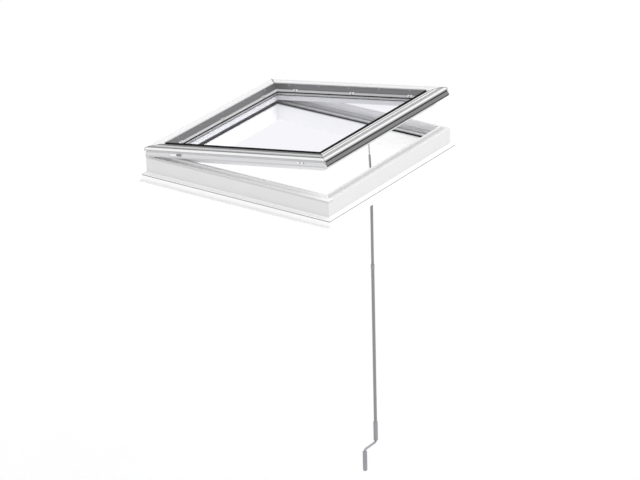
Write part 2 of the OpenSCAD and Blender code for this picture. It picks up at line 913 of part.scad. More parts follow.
// Seal under the sash's arm, just above the kerb's lip when closed
module sash_seal() {
    foot = 8;
    low = lip_z + 0.8;
    t0 = lip_in + (lip_w - foot) / 2;
    color("black")
        raised()
            frame_ring() {
                box2(t0, arm_z - 2, t0 + foot, arm_z);
                box2(t0 + 2, low + 2, t0 + foot - 2, arm_z);
                translate([t0 + foot / 2, low + 2]) circle(2);
            }
}

// Hinges

// Three knuckle zones: -1 and 1 on the kerb, 0 on the sash
module knuckle(zone) {
    third = hinge_w / 3;
    translate([zone * third, hinge_y, hinge_z]) x_rod(knuckle_d, third - knuckle_gap);
}

module pin_bore() {
    translate([0, hinge_y, hinge_z]) x_rod(hinge_pin_d + 2 * run_fit, hinge_w + 2 * cut);
}

module kerb_leaf_screw_places() {
    for (side = [-1, 1], sx = [-1, 1], row = [0, 1])
        translate([
            side * hinge_x + sx * (hinge_w / 2 - leaf_screw_edge),
            kerb_d / 2,
            hinge_z - kerb_leaf_h + leaf_screw_low + row * leaf_screw_rows
        ])
            children();
}

module hinge_kerb_leaf(side) {
    z0 = hinge_z - kerb_leaf_h;
    clear_z = hinge_z - knuckle_r - 1;
    third = hinge_w / 3;
    color("silver")
        difference() {
            translate([side * hinge_x, 0, 0])
                difference() {
                    union() {
                        translate([-hinge_w / 2 + knuckle_gap / 2, kerb_d / 2, z0])
                            cube([hinge_w - knuckle_gap, leaf_t, hinge_z - z0]);
                        knuckle(-1);
                        knuckle(1);
                    }
                    translate([-third / 2 - knuckle_gap / 2, kerb_d / 2 - cut, clear_z])
                        cube([third + knuckle_gap, knuckle_d + 2 * cut, knuckle_d + 2]);
                    pin_bore();
                }
            kerb_leaf_screw_places()
                rotate([-90, 0, 0])
                    translate([0, 0, -cut])
                        cylinder(d = screw_d + 2 * screw_fit, h = leaf_t + 2 * cut);
        }
}

module hinge_kerb_leaf_left() hinge_kerb_leaf(-1);
module hinge_kerb_leaf_right() hinge_kerb_leaf(1);

module hinge_pins() {
    head = 1.5;
    color("gray")
        for (side = [-1, 1])
            translate([side * hinge_x, hinge_y, hinge_z]) {
                x_rod(hinge_pin_d, hinge_w);
                for (end = [-1, 1])
                    translate([end * (hinge_w / 2 + head / 2), 0, 0]) x_rod(hinge_pin_d + 3, head);
            }
}

module hinge_kerb_screws() {
    color("gray")
        kerb_leaf_screw_places()
            translate([0, leaf_t, 0]) rotate([0, 0, 180]) screw(leaf_t + pvc_t);
}

module sash_leaf_screw_places() {
    for (side = [-1, 1], sx = [-1, 1])
        translate([
            side * hinge_x + sx * (hinge_w / 2 - leaf_screw_edge),
            sash_leaf_y + leaf_t,
            (sash_leaf_z + hinge_z + sash_leaf_h) / 2
        ])
            children();
}

// Plate on the rear skirt, with a tongue over the skirt's folded foot to the middle knuckle
module hinge_sash_leaf(side) {
    tongue_w = hinge_w / 3 - knuckle_gap;
    tongue_z = skirt_z + foot_fold_h + seat_fit;
    color("silver")
        raised()
            difference() {
                translate([side * hinge_x, 0, 0])
                    difference() {
                        union() {
                            translate([-hinge_w / 2, sash_leaf_y, sash_leaf_z])
                                cube([hinge_w, leaf_t, hinge_z + sash_leaf_h - sash_leaf_z]);
                            translate([-tongue_w / 2, sash_leaf_y, tongue_z])
                                cube([tongue_w, leaf_t, sash_leaf_z + cut - tongue_z]);
                            translate([-tongue_w / 2, sash_leaf_y, tongue_z])
                                cube([tongue_w, hinge_y - sash_leaf_y, leaf_t]);
                            knuckle(0);
                        }
                        pin_bore();
                    }
                sash_leaf_screw_places()
                    rotate([90, 0, 0])
                        translate([0, 0, -cut])
                            cylinder(d = screw_d + 2 * screw_fit, h = leaf_t + 2 * cut);
            }
}

module hinge_sash_leaf_left() hinge_sash_leaf(-1);
module hinge_sash_leaf_right() hinge_sash_leaf(1);

module hinge_sash_screws() {
    color("gray")
        raised()
            sash_leaf_screw_places() rotate([0, 0, 180]) screw(leaf_t + cover_t);
}

// Opener

module opener_screw_places() {
    for (sx = [-1, 1], sz = [-1, 1])
        translate([
            sx * (bracket_w / 2 - bracket_screw_edge),
            kerb_inner_y,
            nut_z + sz * bracket_screw_z
        ])
            children();
}

module opener_bracket() {
    ear_x = nut_w / 2 + ear_fit;
    color("silver")
        difference() {
            union() {
                translate([-bracket_w / 2, kerb_inner_y, nut_z - bracket_low])
                    cube([bracket_w, bracket_t, bracket_h]);
                for (sx = [-1, 1])
                    translate([sx * (ear_x + bracket_t / 2), 0, 0]) bracket_ear();
            }
            translate([0, nut_y, nut_z])
                x_rod(trunnion_d + 2 * run_fit, 2 * (ear_x + bracket_t + cut));
            opener_screw_places()
                rotate([-90, 0, 0])
                    translate([0, 0, -cut])
                        cylinder(d = screw_d + 2 * screw_fit, h = bracket_t + 2 * cut);
        }
}

// Ear with a round nose about the nut's pivot
module bracket_ear() {
    nose_r = trunnion_d / 2 + nose_wall;
    translate([-bracket_t / 2, 0, 0])
        rotate([90, 0, 90])
            linear_extrude(bracket_t) {
                translate([nut_y, nut_z]) circle(nose_r);
                translate([kerb_inner_y, nut_z - nose_r]) square([nut_out, 2 * nose_r]);
            }
}

module opener_bracket_screws() {
    color("gray")
        opener_screw_places()
            translate([0, bracket_t, 0]) rotate([0, 0, 180]) screw(bracket_t + pvc_t);
}

// The spindle's own frame: origin at the nut's pivot, +Z towards the spindle pin
module on_spindle() {
    translate([0, nut_y, nut_z]) rotate([-lean, 0, 0]) children();
}

module nut_block() {
    chamfer = 4;
    color("dimgray")
        on_spindle()
            difference() {
                union() {
                    translate([0, 0, -nut_h / 2])
                        linear_extrude(nut_h)
                            polygon([
                                [-nut_w / 2, -nut_t / 2 + chamfer], [-nut_w / 2 + chamfer, -nut_t / 2],
                                [nut_w / 2 - chamfer, -nut_t / 2], [nut_w / 2, -nut_t / 2 + chamfer],
                                [nut_w / 2, nut_t / 2 - chamfer], [nut_w / 2 - chamfer, nut_t / 2],
                                [-nut_w / 2 + chamfer, nut_t / 2], [-nut_w / 2, nut_t / 2 - chamfer]
                            ]);
                    x_rod(trunnion_d, nut_w + 2 * (ear_fit + bracket_t));
                }
                cylinder(d = spindle_d + 2 * run_fit, h = nut_h + 2 * cut, center = true);
            }
}

module spindle_tube() {
    color("gray")
        on_spindle()
            difference() {
                translate([0, 0, -outer_stage_down]) cylinder(d = spindle_d, h = outer_stage_l);
                translate([0, 0, -outer_stage_down - cut])
                    cylinder(r = bore_r, h = outer_stage_l + 2 * cut);
            }
}

module spindle_rod() {
    color("silver")
        on_spindle()
            difference() {
                union() {
                    translate([0, 0, inner_stage_low])
                        cylinder(d = inner_stage_d, h = spindle_l - inner_stage_low);
                    translate([0, 0, spindle_l]) x_rod(2 * pin_eye_r, inner_stage_d);
                }
                translate([0, 0, spindle_l]) x_rod(spindle_pin_d + 2 * run_fit, 2 * pin_eye_r);
            }
}

module spindle_pin() {
    ear_outer = ear_gap / 2 + bracket_t;
    color("gray")
        on_spindle()
            translate([0, 0, spindle_l]) {
                x_rod(spindle_pin_d, 2 * ear_outer + 2);
                for (end = [-1, 1])
                    translate([end * (ear_outer + 1.5), 0, 0]) x_rod(spindle_pin_d + 4, 2);
            }
}

module drive_eye() {
    color("silver")
        on_spindle() {
            translate([0, 0, -outer_stage_down - eye_gap - eye_collar_h]) {
                cylinder(d = spindle_d + 2, h = eye_collar_h);
                cylinder(r = bore_r - run_fit, h = eye_collar_h + eye_gap + eye_shank_l);
            }
            translate([0, 0, -eye_centre + eye_d / 2 - 1])
                cylinder(d = eye_wire_d + 1, h = eye_neck + 2);
            translate([0, 0, -eye_centre])
                rotate([90, 0, 0])
                    rotate_extrude() translate([eye_d / 2, 0]) circle(d = eye_wire_d);
        }
}

module sash_bracket_screw_places() {
    for (sx = [-1, 1])
        translate([sx * sash_screw_x, sash_inner_y, sash_z + sash_screw_z])
            children();
}

// Bracket on the sash's inner face with two slotted ears for the spindle pin
module sash_bracket() {
    plate_h = glass_bottom - rest_gasket_t - sash_z;
    nose_r = spindle_pin_d / 2 + pin_slot_gap + nose_wall - 1;
    ear_x = ear_gap / 2;
    color("silver")
        raised()
            difference() {
                union() {
                    translate([-sash_bracket_w / 2, sash_inner_y, sash_z])
                        cube([sash_bracket_w, bracket_t, plate_h]);
                    for (sx = [-1, 1])
                        translate([sx * (ear_x + bracket_t / 2) - bracket_t / 2, 0, 0])
                            rotate([90, 0, 90])
                                linear_extrude(bracket_t) sash_ear(plate_h, nose_r);
                }
                rotate([90, 0, 90])
                    translate([0, 0, -2 * ear_x])
                        linear_extrude(4 * ear_x) pin_slot();
                sash_bracket_screw_places()
                    rotate([-90, 0, 0])
                        translate([0, 0, -cut])
                            cylinder(d = screw_d + 2 * screw_fit, h = bracket_t + 2 * cut);
            }
}

// Ear outline: a plate edge that narrows to a rounded nose around the slot
module sash_ear(plate_h, nose_r) {
    half = (pin_slot_l - spindle_pin_d) / 2;
    polygon([
        [sash_inner_y, sash_z + plate_h], [sash_inner_y, sash_z],
        [slot_y - half - nose_r, pin_z - nose_r / 2], [slot_y - half, pin_z - nose_r],
        [slot_y + half, pin_z - nose_r], [slot_y + half + nose_r, pin_z],
        [slot_y + half + nose_r, sash_z + 4], [sash_inner_y + 8, sash_z + plate_h]
    ]);
    translate([slot_y + half, pin_z]) circle(nose_r);
}

module pin_slot() {
    r = spindle_pin_d / 2 + pin_slot_gap;
    half = pin_slot_l / 2 - spindle_pin_d / 2;
    translate([slot_y - half, pin_z]) circle(r);
    translate([slot_y + half, pin_z]) circle(r);
    translate([slot_y - half, pin_z - r]) square([2 * half, 2 * r]);
}

module sash_bracket_screws() {
    color("gray")
        raised()
            sash_bracket_screw_places()
                translate([0, bracket_t, 0]) rotate([0, 0, 180]) screw(bracket_t + pvc_t);
}

// Small fittings on the left and right skirts

// Puts a part on the flared face of both side skirts, at a distance behind the kerb's
// middle, with +X to the front, +Y up the face and +Z out of it
module on_flares(back) {
    for (side = [1, 3])
        on_side(side)
            translate([
                side == 1 ? back : -back,
                -(band_out + flare_out) / 2,
                (flare_z + skirt_z) / 2
            ])
                rotate([90 - flare_angle, 0, 0])
                    mirror([side == 1 ? 1 : 0, 0, 0])
                        translate([0, fitting_up, 0])
                            children();
}

// Two round knobs, each with a plug in front of it
module side_fitting_pills() {
    rim = 1;
    color("white")
        raised()
            on_flares(front_fitting_end - kerb_d / 2)
                for (i = [-1, 0]) {
                    translate([(i + 0.5) * knob_pitch, 0, 0]) {
                        cylinder(d = knob_d, h = knob_h - rim);
                        translate([0, 0, knob_h - rim])
                            cylinder(d1 = knob_d, d2 = knob_d - 2 * rim, h = rim);
                    }
                    translate([(i + 1) * knob_pitch, 0, 0]) cylinder(d = plug_d, h = plug_h);
                }
}

// A raised block with a recessed pad in front of it
module side_fitting_blocks() {
    pad_wall = 2;
    color("white")
        raised()
            on_flares(kerb_d / 2 - rear_fitting_end) {
                rotate([90, 0, 90])
                    linear_extrude(block_fitting_l, center = true)
                        polygon([
                            [-block_fitting_h / 2, 0], [block_fitting_h / 2, 0],
                            [block_fitting_h / 2, knob_h - 1], [block_fitting_h / 2 - 1, knob_h],
                            [1 - block_fitting_h / 2, knob_h], [-block_fitting_h / 2, knob_h - 1]
                        ]);
                translate([block_fitting_l / 2 + seat_fit, -block_fitting_h / 2, 0])
                    difference() {
                        cube([pad_l, block_fitting_h, plug_h + 1]);
                        translate([pad_wall, pad_wall, 1])
                            cube([pad_l - 2 * pad_wall, block_fitting_h - 2 * pad_wall, plug_h + cut]);
                    }
            }
}

// Crank rod

module on_rod(z) {
    translate([0, rod_y, z]) children();
}

// Hook over the eye's lower wire, with the plug that closes the upper tube
module rod_hook() {
    plug_r = upper_tube_d / 2 - tube_t - run_fit;
    jog_r = hook_r / 2;
    color("gray") {
        on_rod(hook_z) {
            rotate([0, 90, 0])
                rotate([0, 0, 90])
                    rotate_extrude(angle = 180) translate([hook_r, 0]) circle(d = hook_wire_d);
            translate([0, -hook_r, -hook_tip]) cylinder(d = hook_wire_d, h = hook_tip);
            translate([0, -hook_r, -hook_tip]) sphere(d = hook_wire_d);
            translate([0, hook_r, -hook_neck]) cylinder(d = hook_wire_d, h = hook_neck);
        }
        // Two quarter bends bring the wire back over the rod's axis
        on_rod(hook_z - hook_neck) {
            translate([0, hook_r - jog_r, 0])
                rotate([90, 0, 90])
                    rotate([0, 0, -90])
                        rotate_extrude(angle = 90) translate([jog_r, 0]) circle(d = hook_wire_d);
            translate([0, hook_r - jog_r, -2 * jog_r])
                rotate([90, 0, 90])
                    rotate([0, 0, 90])
                        rotate_extrude(angle = 90) translate([jog_r, 0]) circle(d = hook_wire_d);
        }
        on_rod(rod_top) cylinder(d = hook_wire_d, h = hook_drop - hook_neck - 2 * jog_r);
        on_rod(rod_top) cylinder(d1 = upper_tube_d, d2 = hook_wire_d + 3, h = hook_cone_h);
        on_rod(rod_top - hook_plug_l) cylinder(r = plug_r, h = hook_plug_l + cut);
    }
}

module tube(r, length) {
    difference() {
        cylinder(r = r, h = length);
        translate([0, 0, -cut]) cylinder(r = r - tube_t, h = length + 2 * cut);
    }
}

module upper_tube() {
    color("gray")
        on_rod(joint_z - overlap_l) tube(upper_tube_d / 2, upper_show_l + overlap_l);
}

module lower_tube() {
    color("gray") on_rod(lower_end) tube(lower_tube_r, lower_tube_l);
}

// Collar over the lower tube's mouth
module tube_collar() {
    top = stop_h;
    outer = lower_tube_r + collar_t;
    color("dimgray")
        on_rod(joint_z)
            rotate_extrude()
                polygon([
                    [lower_tube_r, -collar_h], [outer - 0.6, -collar_h], [outer, -collar_h + 1],
                    [outer, top - 1], [outer - 1, top], [lower_bore_r, top],
                    [lower_bore_r, 0], [lower_tube_r, 0]
                ]);
}

// Bar that plugs into the lower tube, carries the upper grip and cranks to the handle
module crank_bar() {
    bend_z = arm_top - crank_bend_r;
    color("gray") {
        on_rod(lower_end) cylinder(r = lower_bore_r - run_fit, h = plug_l);
        on_rod(lower_end - stop_h) cylinder(r = lower_tube_r + 1, h = stop_h);
        on_rod(arm_top) cylinder(d = crank_d, h = lower_end - arm_top);
        on_rod(bend_z)
            translate([-crank_bend_r, 0, crank_bend_r])
                crank_bend(270);
        on_rod(bend_z)
            translate([-crank_bend_r, 0, 0])
                rotate([0, -90, 0]) cylinder(d = crank_d, h = crank_throw - 2 * crank_bend_r);
        on_rod(bend_z)
            translate([crank_bend_r - crank_throw, 0, -crank_bend_r])
                crank_bend(90);
        on_rod(bar_end)
            translate([-crank_throw, 0, 0])
                cylinder(d = crank_d, h = arm_top - 2 * crank_bend_r - bar_end);
    }
}

// Quarter bend in the XZ plane that starts at the given angle about its centre
module crank_bend(start) {
    rotate([90, 0, 0])
        rotate([0, 0, start])
            rotate_extrude(angle = 90) translate([crank_bend_r, 0]) circle(d = crank_d);
}

// Turned grip: rounded ends, a slight waist and three rings
module grip(length) {
    bore = crank_d / 2 + run_fit;
    r = grip_d / 2;
    waist = 0.6;
    ring = 2;
    color("gray")
        rotate_extrude()
            difference() {
                union() {
                    translate([bore, end_r]) square([r - bore, length - 2 * end_r]);
                    translate([bore, 0]) square([r - bore - end_r, length]);
                    translate([r - end_r, end_r]) circle(end_r);
                    translate([r - end_r, length - end_r]) circle(end_r);
                }
                for (i = [1:3])
                    translate([r - waist, i * length / 4 - ring / 2]) square([waist + 1, ring]);
            }
}

module upper_grip() {
    on_rod(upper_grip_low) grip(upper_grip_l);
}

module handle_grip() {
    on_rod(handle_low) translate([-crank_throw, 0, 0]) grip(handle_l);
}

// Domed cap fixed to the end of the bar
module handle_cap() {
    r = grip_d / 2 - 1;
    color("dimgray")
        on_rod(bar_end - cap_h)
            translate([-crank_throw, 0, 0])
                rotate_extrude() {
                    square([r - end_r, cap_h]);
                    translate([0, end_r]) square([r, cap_h - end_r]);
                    translate([r - end_r, end_r]) circle(end_r);
                }
}

base_plinth();
base_tape();
kerb_frame();
rebate_seal();
inner_edge_seal();
hinge_kerb_leaf_left();
hinge_kerb_leaf_right();
hinge_pins();
hinge_kerb_screws();
opener_bracket();
opener_bracket_screws();
sash_frame();
cover_front();
cover_right();
cover_rear();
cover_left();
corner_keys();
rim_gasket();
inner_trim_front();
inner_trim_right();
inner_trim_rear();
inner_trim_left();
trim_screws();
glazing_bead_front();
glazing_bead_right();
glazing_bead_rear();
glazing_bead_left();
glazing_clips();
glazing_gasket();
outer_pane();
spacer_frame();
edge_sealant();
inner_pane();
rest_gasket();
setting_blocks();
sash_seal();
hinge_sash_leaf_left();
hinge_sash_leaf_right();
hinge_sash_screws();
sash_bracket();
sash_bracket_screws();
side_fitting_pills();
side_fitting_blocks();
nut_block();
spindle_tube();
spindle_rod();
spindle_pin();
drive_eye();
rod_hook();
upper_tube();
lower_tube();
tube_collar();
crank_bar();
handle_cap();
upper_grip();
handle_grip();
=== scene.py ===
"""Roof skylight with a raised sash, a screw opener and a crank rod.

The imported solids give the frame; this script gives them their finishes, adds the small
surfaces that are finer than the solids, and sets up the studio. All lengths are in metres.
"""
from __future__ import annotations

import logging
import math
from dataclasses import dataclass
from enum import Enum
from typing import Iterable, Sequence

import bmesh
import bpy
import numpy as np
from mathutils import Matrix, Vector


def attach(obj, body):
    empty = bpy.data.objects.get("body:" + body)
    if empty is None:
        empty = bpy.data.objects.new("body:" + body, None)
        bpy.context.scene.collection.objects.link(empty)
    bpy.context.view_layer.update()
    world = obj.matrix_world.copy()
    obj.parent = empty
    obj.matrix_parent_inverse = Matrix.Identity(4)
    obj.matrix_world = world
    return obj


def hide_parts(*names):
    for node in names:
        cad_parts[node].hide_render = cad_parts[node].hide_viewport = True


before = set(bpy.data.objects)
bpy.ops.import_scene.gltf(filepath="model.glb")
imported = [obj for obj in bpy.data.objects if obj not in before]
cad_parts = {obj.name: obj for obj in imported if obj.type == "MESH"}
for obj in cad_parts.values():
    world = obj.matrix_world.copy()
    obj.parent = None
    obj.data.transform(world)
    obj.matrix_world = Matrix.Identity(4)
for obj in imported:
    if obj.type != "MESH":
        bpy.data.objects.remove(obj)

LOG = logging.getLogger("skylight")

Colour = tuple[float, float, float]

# The direction away from the opener's side, which the screws of leaves and plates face
BACKWARD = np.array([0.0, 1.0, 0.0])


# Sizes of the part

class Side(Enum):
    """The four sides of the frame, named as seen from the opener's side."""

    FRONT = "front"
    RIGHT = "right"
    REAR = "rear"
    LEFT = "left"


@dataclass(frozen=True)
class PartSizes:
    """Sizes that the solids were built with, where a finish or a new piece needs them.

    Heights are from the plinth's underside with the sash closed, and insets from the kerb's
    outer face.

    Attributes:
        half: Half the kerb's width.
        hinge_y: Place of the hinge line behind the kerb's middle.
        hinge_z: Height of the hinge line.
        open_angle: How far the sash is raised.
        hinge_screws: Places of the hinge leaves' screws along the hinge line.
        rim_z: Height of the rim's top.
        rim_in: Inset of the rim's inner edge.
        band_foot: Height of the band's foot.
        flare_z: Height at which the skirt starts to flare.
        skirt_z: Height of the skirt's foot.
        drip: Insets of the drip groove's edges.
        ribs: Insets that the ribs lie between.
        rib_mid: Inset of the first rib's middle.
        rib_pitch: Distance from rib to rib.
        clip_mid: Place of the first glazing clip along a side.
        clip_pitch: Distance from clip to clip.
    """

    half: float = 0.600
    hinge_y: float = 0.604
    hinge_z: float = 0.153
    open_angle: float = math.radians(9.08)
    hinge_screws: tuple[float, ...] = (-0.408, -0.352, 0.352, 0.408)
    rim_z: float = 0.197
    rim_in: float = 0.079
    band_foot: float = 0.180
    flare_z: float = 0.173
    skirt_z: float = 0.150
    drip: tuple[float, float] = (0.0485, 0.0515)
    ribs: tuple[float, float] = (0.0100, 0.0320)
    rib_mid: float = 0.013
    rib_pitch: float = 0.004
    clip_mid: float = -0.430
    clip_pitch: float = 0.390

    def raised(self, points: np.ndarray) -> np.ndarray:
        """Turns points of the closed sash about the hinge line into the raised place.

        The y and z distances from the hinge line turn by the opening angle, so that the
        front edge goes up; x stays.

        Args:
            points: An array whose last axis is x, y, z with the sash closed.

        Returns:
            The same points with the sash raised.
        """
        y = points[..., 1] - self.hinge_y
        z = points[..., 2] - self.hinge_z
        c, s = math.cos(self.open_angle), math.sin(self.open_angle)
        turned = np.stack([points[..., 0], y * c + z * s, z * c - y * s], axis=-1)
        return turned + np.array([0.0, self.hinge_y, self.hinge_z])

    def raised_vector(self, vectors: np.ndarray) -> np.ndarray:
        """Turns directions as raised() turns points."""
        line = np.array([0.0, self.hinge_y, self.hinge_z])
        return self.raised(vectors + line) - line


SIZES = PartSizes()


# Shader expressions

class Value:
    """One socket of a shader tree, with which sums are written as Python expressions."""

    def __init__(self, tree: "ShaderTree", socket: bpy.types.NodeSocket) -> None:
        """Keeps the tree that the socket belongs to."""
        self.tree = tree
        self.socket = socket

    def _math(self, operation: str, *others: "Value | float") -> "Value":
        """Adds one Math node with this value first."""
        return self.tree.math(operation, self, *others)

    def __add__(self, other: "Value | float") -> "Value":
        """self + other."""
        return self._math("ADD", other)

    __radd__ = __add__

    def __sub__(self, other: "Value | float") -> "Value":
        """self - other."""
        return self._math("SUBTRACT", other)

    def __rsub__(self, other: float) -> "Value":
        """other - self."""
        return self.tree.math("SUBTRACT", other, self)

    def __mul__(self, other: "Value | float") -> "Value":
        """self * other."""
        return self._math("MULTIPLY", other)

    __rmul__ = __mul__

    def __abs__(self) -> "Value":
        """The size of self without its sign."""
        return self._math("ABSOLUTE")

    def least(self, other: "Value | float") -> "Value":
        """The smaller of both."""
        return self._math("MINIMUM", other)

    def most(self, other: "Value | float") -> "Value":
        """The larger of both."""
        return self._math("MAXIMUM", other)

    def ramp(self, start: float, end: float) -> "Value":
        """A smooth step from 0 at start to 1 at end.

        Args:
            start: The value at which the result is 0.
            end: The value at which the result is 1.

        Returns:
            The step as a value.
        """
        return self.tree.node(
            "ShaderNodeMapRange", {"interpolation_type": "SMOOTHSTEP", "clamp": True},
            {"Value": self, "From Min": start, "From Max": end}).out("Result")

    def band(self, low: float, high: float, soft: float) -> "Value":
        """1 between low and high, with edges that fade over the width soft."""
        return self.ramp(low - soft, low) * (1 - self.ramp(high, high + soft))


class Node:
    """A shader node with its outputs at hand as values."""

    def __init__(self, tree: "ShaderTree", node: bpy.types.Node) -> None:
        """Keeps the node and its tree."""
        self.tree = tree
        self.node = node

    def out(self, name: str) -> Value:
        """An output of the node.

        Args:
            name: The socket's name or identifier.

        Returns:
            Its value.
        """
        for socket in self.node.outputs:
            if name in (socket.identifier, socket.name) and socket.enabled:
                return Value(self.tree, socket)
        raise KeyError(f"{self.node.bl_idname} has no output {name}")


class ShaderTree:
    """The node tree of one new material or world."""

    def __init__(self, owner: bpy.types.Material | bpy.types.World) -> None:
        """Empties the owner's tree.

        Args:
            owner: The material or world.
        """
        owner.use_nodes = True
        self.nodes = owner.node_tree.nodes
        self.links = owner.node_tree.links
        self.nodes.clear()
        self._place: Value | None = None

    def node(self, kind: str, settings: dict | None = None,
             inputs: dict | None = None) -> Node:
        """Adds one node.

        Args:
            kind: The node's type.
            settings: Its settings, which are set first.
            inputs: Numbers, colours or values for its sockets, by name or identifier.

        Returns:
            The node.
        """
        made = self.nodes.new(kind)
        for key, value in (settings or {}).items():
            setattr(made, key, value)
        for key, value in (inputs or {}).items():
            socket = next(s for s in made.inputs
                          if key in (s.identifier, s.name) and s.enabled)
            if isinstance(value, Value):
                self.links.new(value.socket, socket)
            else:
                socket.default_value = value
        return Node(self, made)

    def math(self, operation: str, *terms: Value | float) -> Value:
        """Adds a Math node.

        Args:
            operation: What the node works out.
            terms: Up to three numbers or values.

        Returns:
            The result.
        """
        names = ("Value", "Value_001", "Value_002")
        made = self.nodes.new("ShaderNodeMath")
        made.operation = operation
        for name, term in zip(names, terms):
            socket = next(s for s in made.inputs if s.identifier == name)
            if isinstance(term, Value):
                self.links.new(term.socket, socket)
            else:
                socket.default_value = term
        return Value(self, made.outputs[0])

    def place(self) -> Value:
        """The object coordinates.

        Returns:
            The vector, from one node for the whole tree.
        """
        if self._place is None:
            self._place = self.node("ShaderNodeTexCoord").out("Object")
        return self._place

    def closed_place(self) -> Value:
        """The object coordinates turned back into the closed sash's place.

        Returns:
            The turned vector.
        """
        c, s = math.cos(SIZES.open_angle), math.sin(SIZES.open_angle)
        y, z = SIZES.hinge_y, SIZES.hinge_z
        back = (0.0, y - (y * c - z * s), z - (y * s + z * c))
        return self.node(
            "ShaderNodeMapping", {"vector_type": "POINT"},
            {"Vector": self.place(), "Location": back,
             "Rotation": (SIZES.open_angle, 0.0, 0.0)}).out("Vector")

    def axes(self, vector: Value) -> tuple[Value, Value, Value]:
        """The x, y and z of a vector."""
        split = self.node("ShaderNodeSeparateXYZ", None, {"Vector": vector})
        return split.out("X"), split.out("Y"), split.out("Z")

    def noise(self, scale: float, detail: float = 3.0) -> Value:
        """Soft noise from 0 to 1 on the object's coordinates."""
        return self.node("ShaderNodeTexNoise", None, {
            "Vector": self.place(), "Scale": scale, "Detail": detail}).out("Fac")

    def mix(self, factor: Value | float, first: Value | Colour,
            second: Value | Colour) -> Value:
        """A colour between first and second.

        Args:
            factor: 0 for the first colour and 1 for the second.
            first: A colour or a value.
            second: A colour or a value.

        Returns:
            The mixed colour.
        """
        a, b = (c if isinstance(c, Value) else (*c, 1.0) for c in (first, second))
        return self.node("ShaderNodeMix", {"data_type": "RGBA"},
                         {"Factor_Float": factor, "A_Color": a, "B_Color": b}
                         ).out("Result_Color")

    def bump(self, height: Value, distance: float, strength: float) -> Value:
        """A normal that is bent by a height."""
        return self.node("ShaderNodeBump", None,
                         {"Height": height, "Distance": distance,
                          "Strength": strength}).out("Normal")

    def surface(self, shader: Value) -> None:
        """Makes a shader the material's surface."""
        self.node("ShaderNodeOutputMaterial", None, {"Surface": shader})


def paint(code: str) -> Colour:
    """A screen colour, written as six hexadecimal digits, as linear light."""
    parts = (int(code[i:i + 2], 16) / 255 for i in (0, 2, 4))
    return tuple(c / 12.92 if c <= 0.04045 else ((c + 0.055) / 1.055) ** 2.4 for c in parts)


# Finishes

# Scales of the soft patches of colour and of gloss, per metre, and how far the gloss goes
COLOUR_PATCHES = 7.0
GLOSS_PATCHES = 60.0
GLOSS_SPREAD = 0.12


@dataclass(frozen=True)
class Finish:
    """A finish: a colour that wanders a little, a gloss, and a fine grain.

    Attributes:
        name: The material's name.
        colour: The screen colour.
        slot: The record's slot for pieces that are new; not used.
        roughness: How dull the surface is.
        metallic: 1 for bare metal.
        specular: How strongly a surface that isn't metal mirrors, 0.5 being usual.
        wander: How much darker the patches make the colour on average, as a share.
        grain: Scale of the grain, per metre.
        grain_depth: Depth of the grain.
    """

    name: str
    colour: str
    slot: str
    roughness: float = 0.5
    metallic: float = 0.0
    specular: float = 0.5
    wander: float = 0.02
    grain: float = 900.0
    grain_depth: float = 0.00002

    def material(self) -> bpy.types.Material:
        """Makes the material, or finds it where it was made before.

        Returns:
            The material.
        """
        found = bpy.data.materials.get(self.name)
        if found is not None:
            return found
        made = bpy.data.materials.new(self.name)
        tree = ShaderTree(made)
        tree.surface(self.shade(tree))
        made.diffuse_color = (*paint(self.colour), 1.0)
        return made

    def shade(self, tree: ShaderTree) -> Value:
        """The shader of this finish."""
        return tree.node("ShaderNodeBsdfPrincipled", None, {
            "Base Color": self.tint(tree), "Roughness": self.gloss(tree),
            "Metallic": self.metallic, "Specular IOR Level": self.specular,
            "Normal": self.relief(tree)}).out("BSDF")

    def tint(self, tree: ShaderTree) -> Value:
        """The colour, a little darker in soft patches.

        Args:
            tree: The material's tree.

        Returns:
            The colour.
        """
        base = paint(self.colour)
        darker = tuple(c * (1 - 2 * self.wander) for c in base)
        return tree.mix(tree.noise(COLOUR_PATCHES), base, darker)

    def gloss(self, tree: ShaderTree) -> Value:
        """The roughness, which varies in soft patches."""
        return tree.noise(GLOSS_PATCHES) * GLOSS_SPREAD + (self.roughness - GLOSS_SPREAD / 2)

    def relief(self, tree: ShaderTree) -> Value:
        """A fine grain."""
        return tree.bump(tree.noise(self.grain, 2.0), self.grain_depth, 0.6)


class Measure(Enum):
    """What a zone of a finish is measured by."""

    INSET = "distance in from the kerb's outer face"
    HEIGHT = "height above the plinth's underside"
    MITRE = "distance along a side from the frame's diagonals"
    RIB = "distance from the middle of the nearest rib"
    ALONG = "place along a side, towards the hinges or the right"
    DEPTH = "distance behind the kerb's middle"
    RIGHT = "distance to the right of the kerb's middle"
    CLIP = "distance from the middle of the nearest glazing clip"


@dataclass(frozen=True)
class Span:
    """A stretch of one measure.

    Attributes:
        by: The measure.
        low: Where the stretch starts.
        high: Where it ends.
        soft: Width over which it fades out beyond both ends.
    """

    by: Measure
    low: float
    high: float
    soft: float = 0.0003


@dataclass(frozen=True)
class Zone:
    """A part of a surface with another colour, such as a joint line, painted shade or a painted
    highlight.

    Attributes:
        colour: Its screen colour.
        spans: The stretches that it lies in, all of them at once.
        share: How much of that colour shows.
    """

    colour: str
    spans: tuple[Span, ...]
    share: float = 1.0


def zone(colour: str, *spans: Span, share: float = 1.0) -> Zone:
    """A zone of that colour where all the spans meet."""
    return Zone(colour, spans, share)


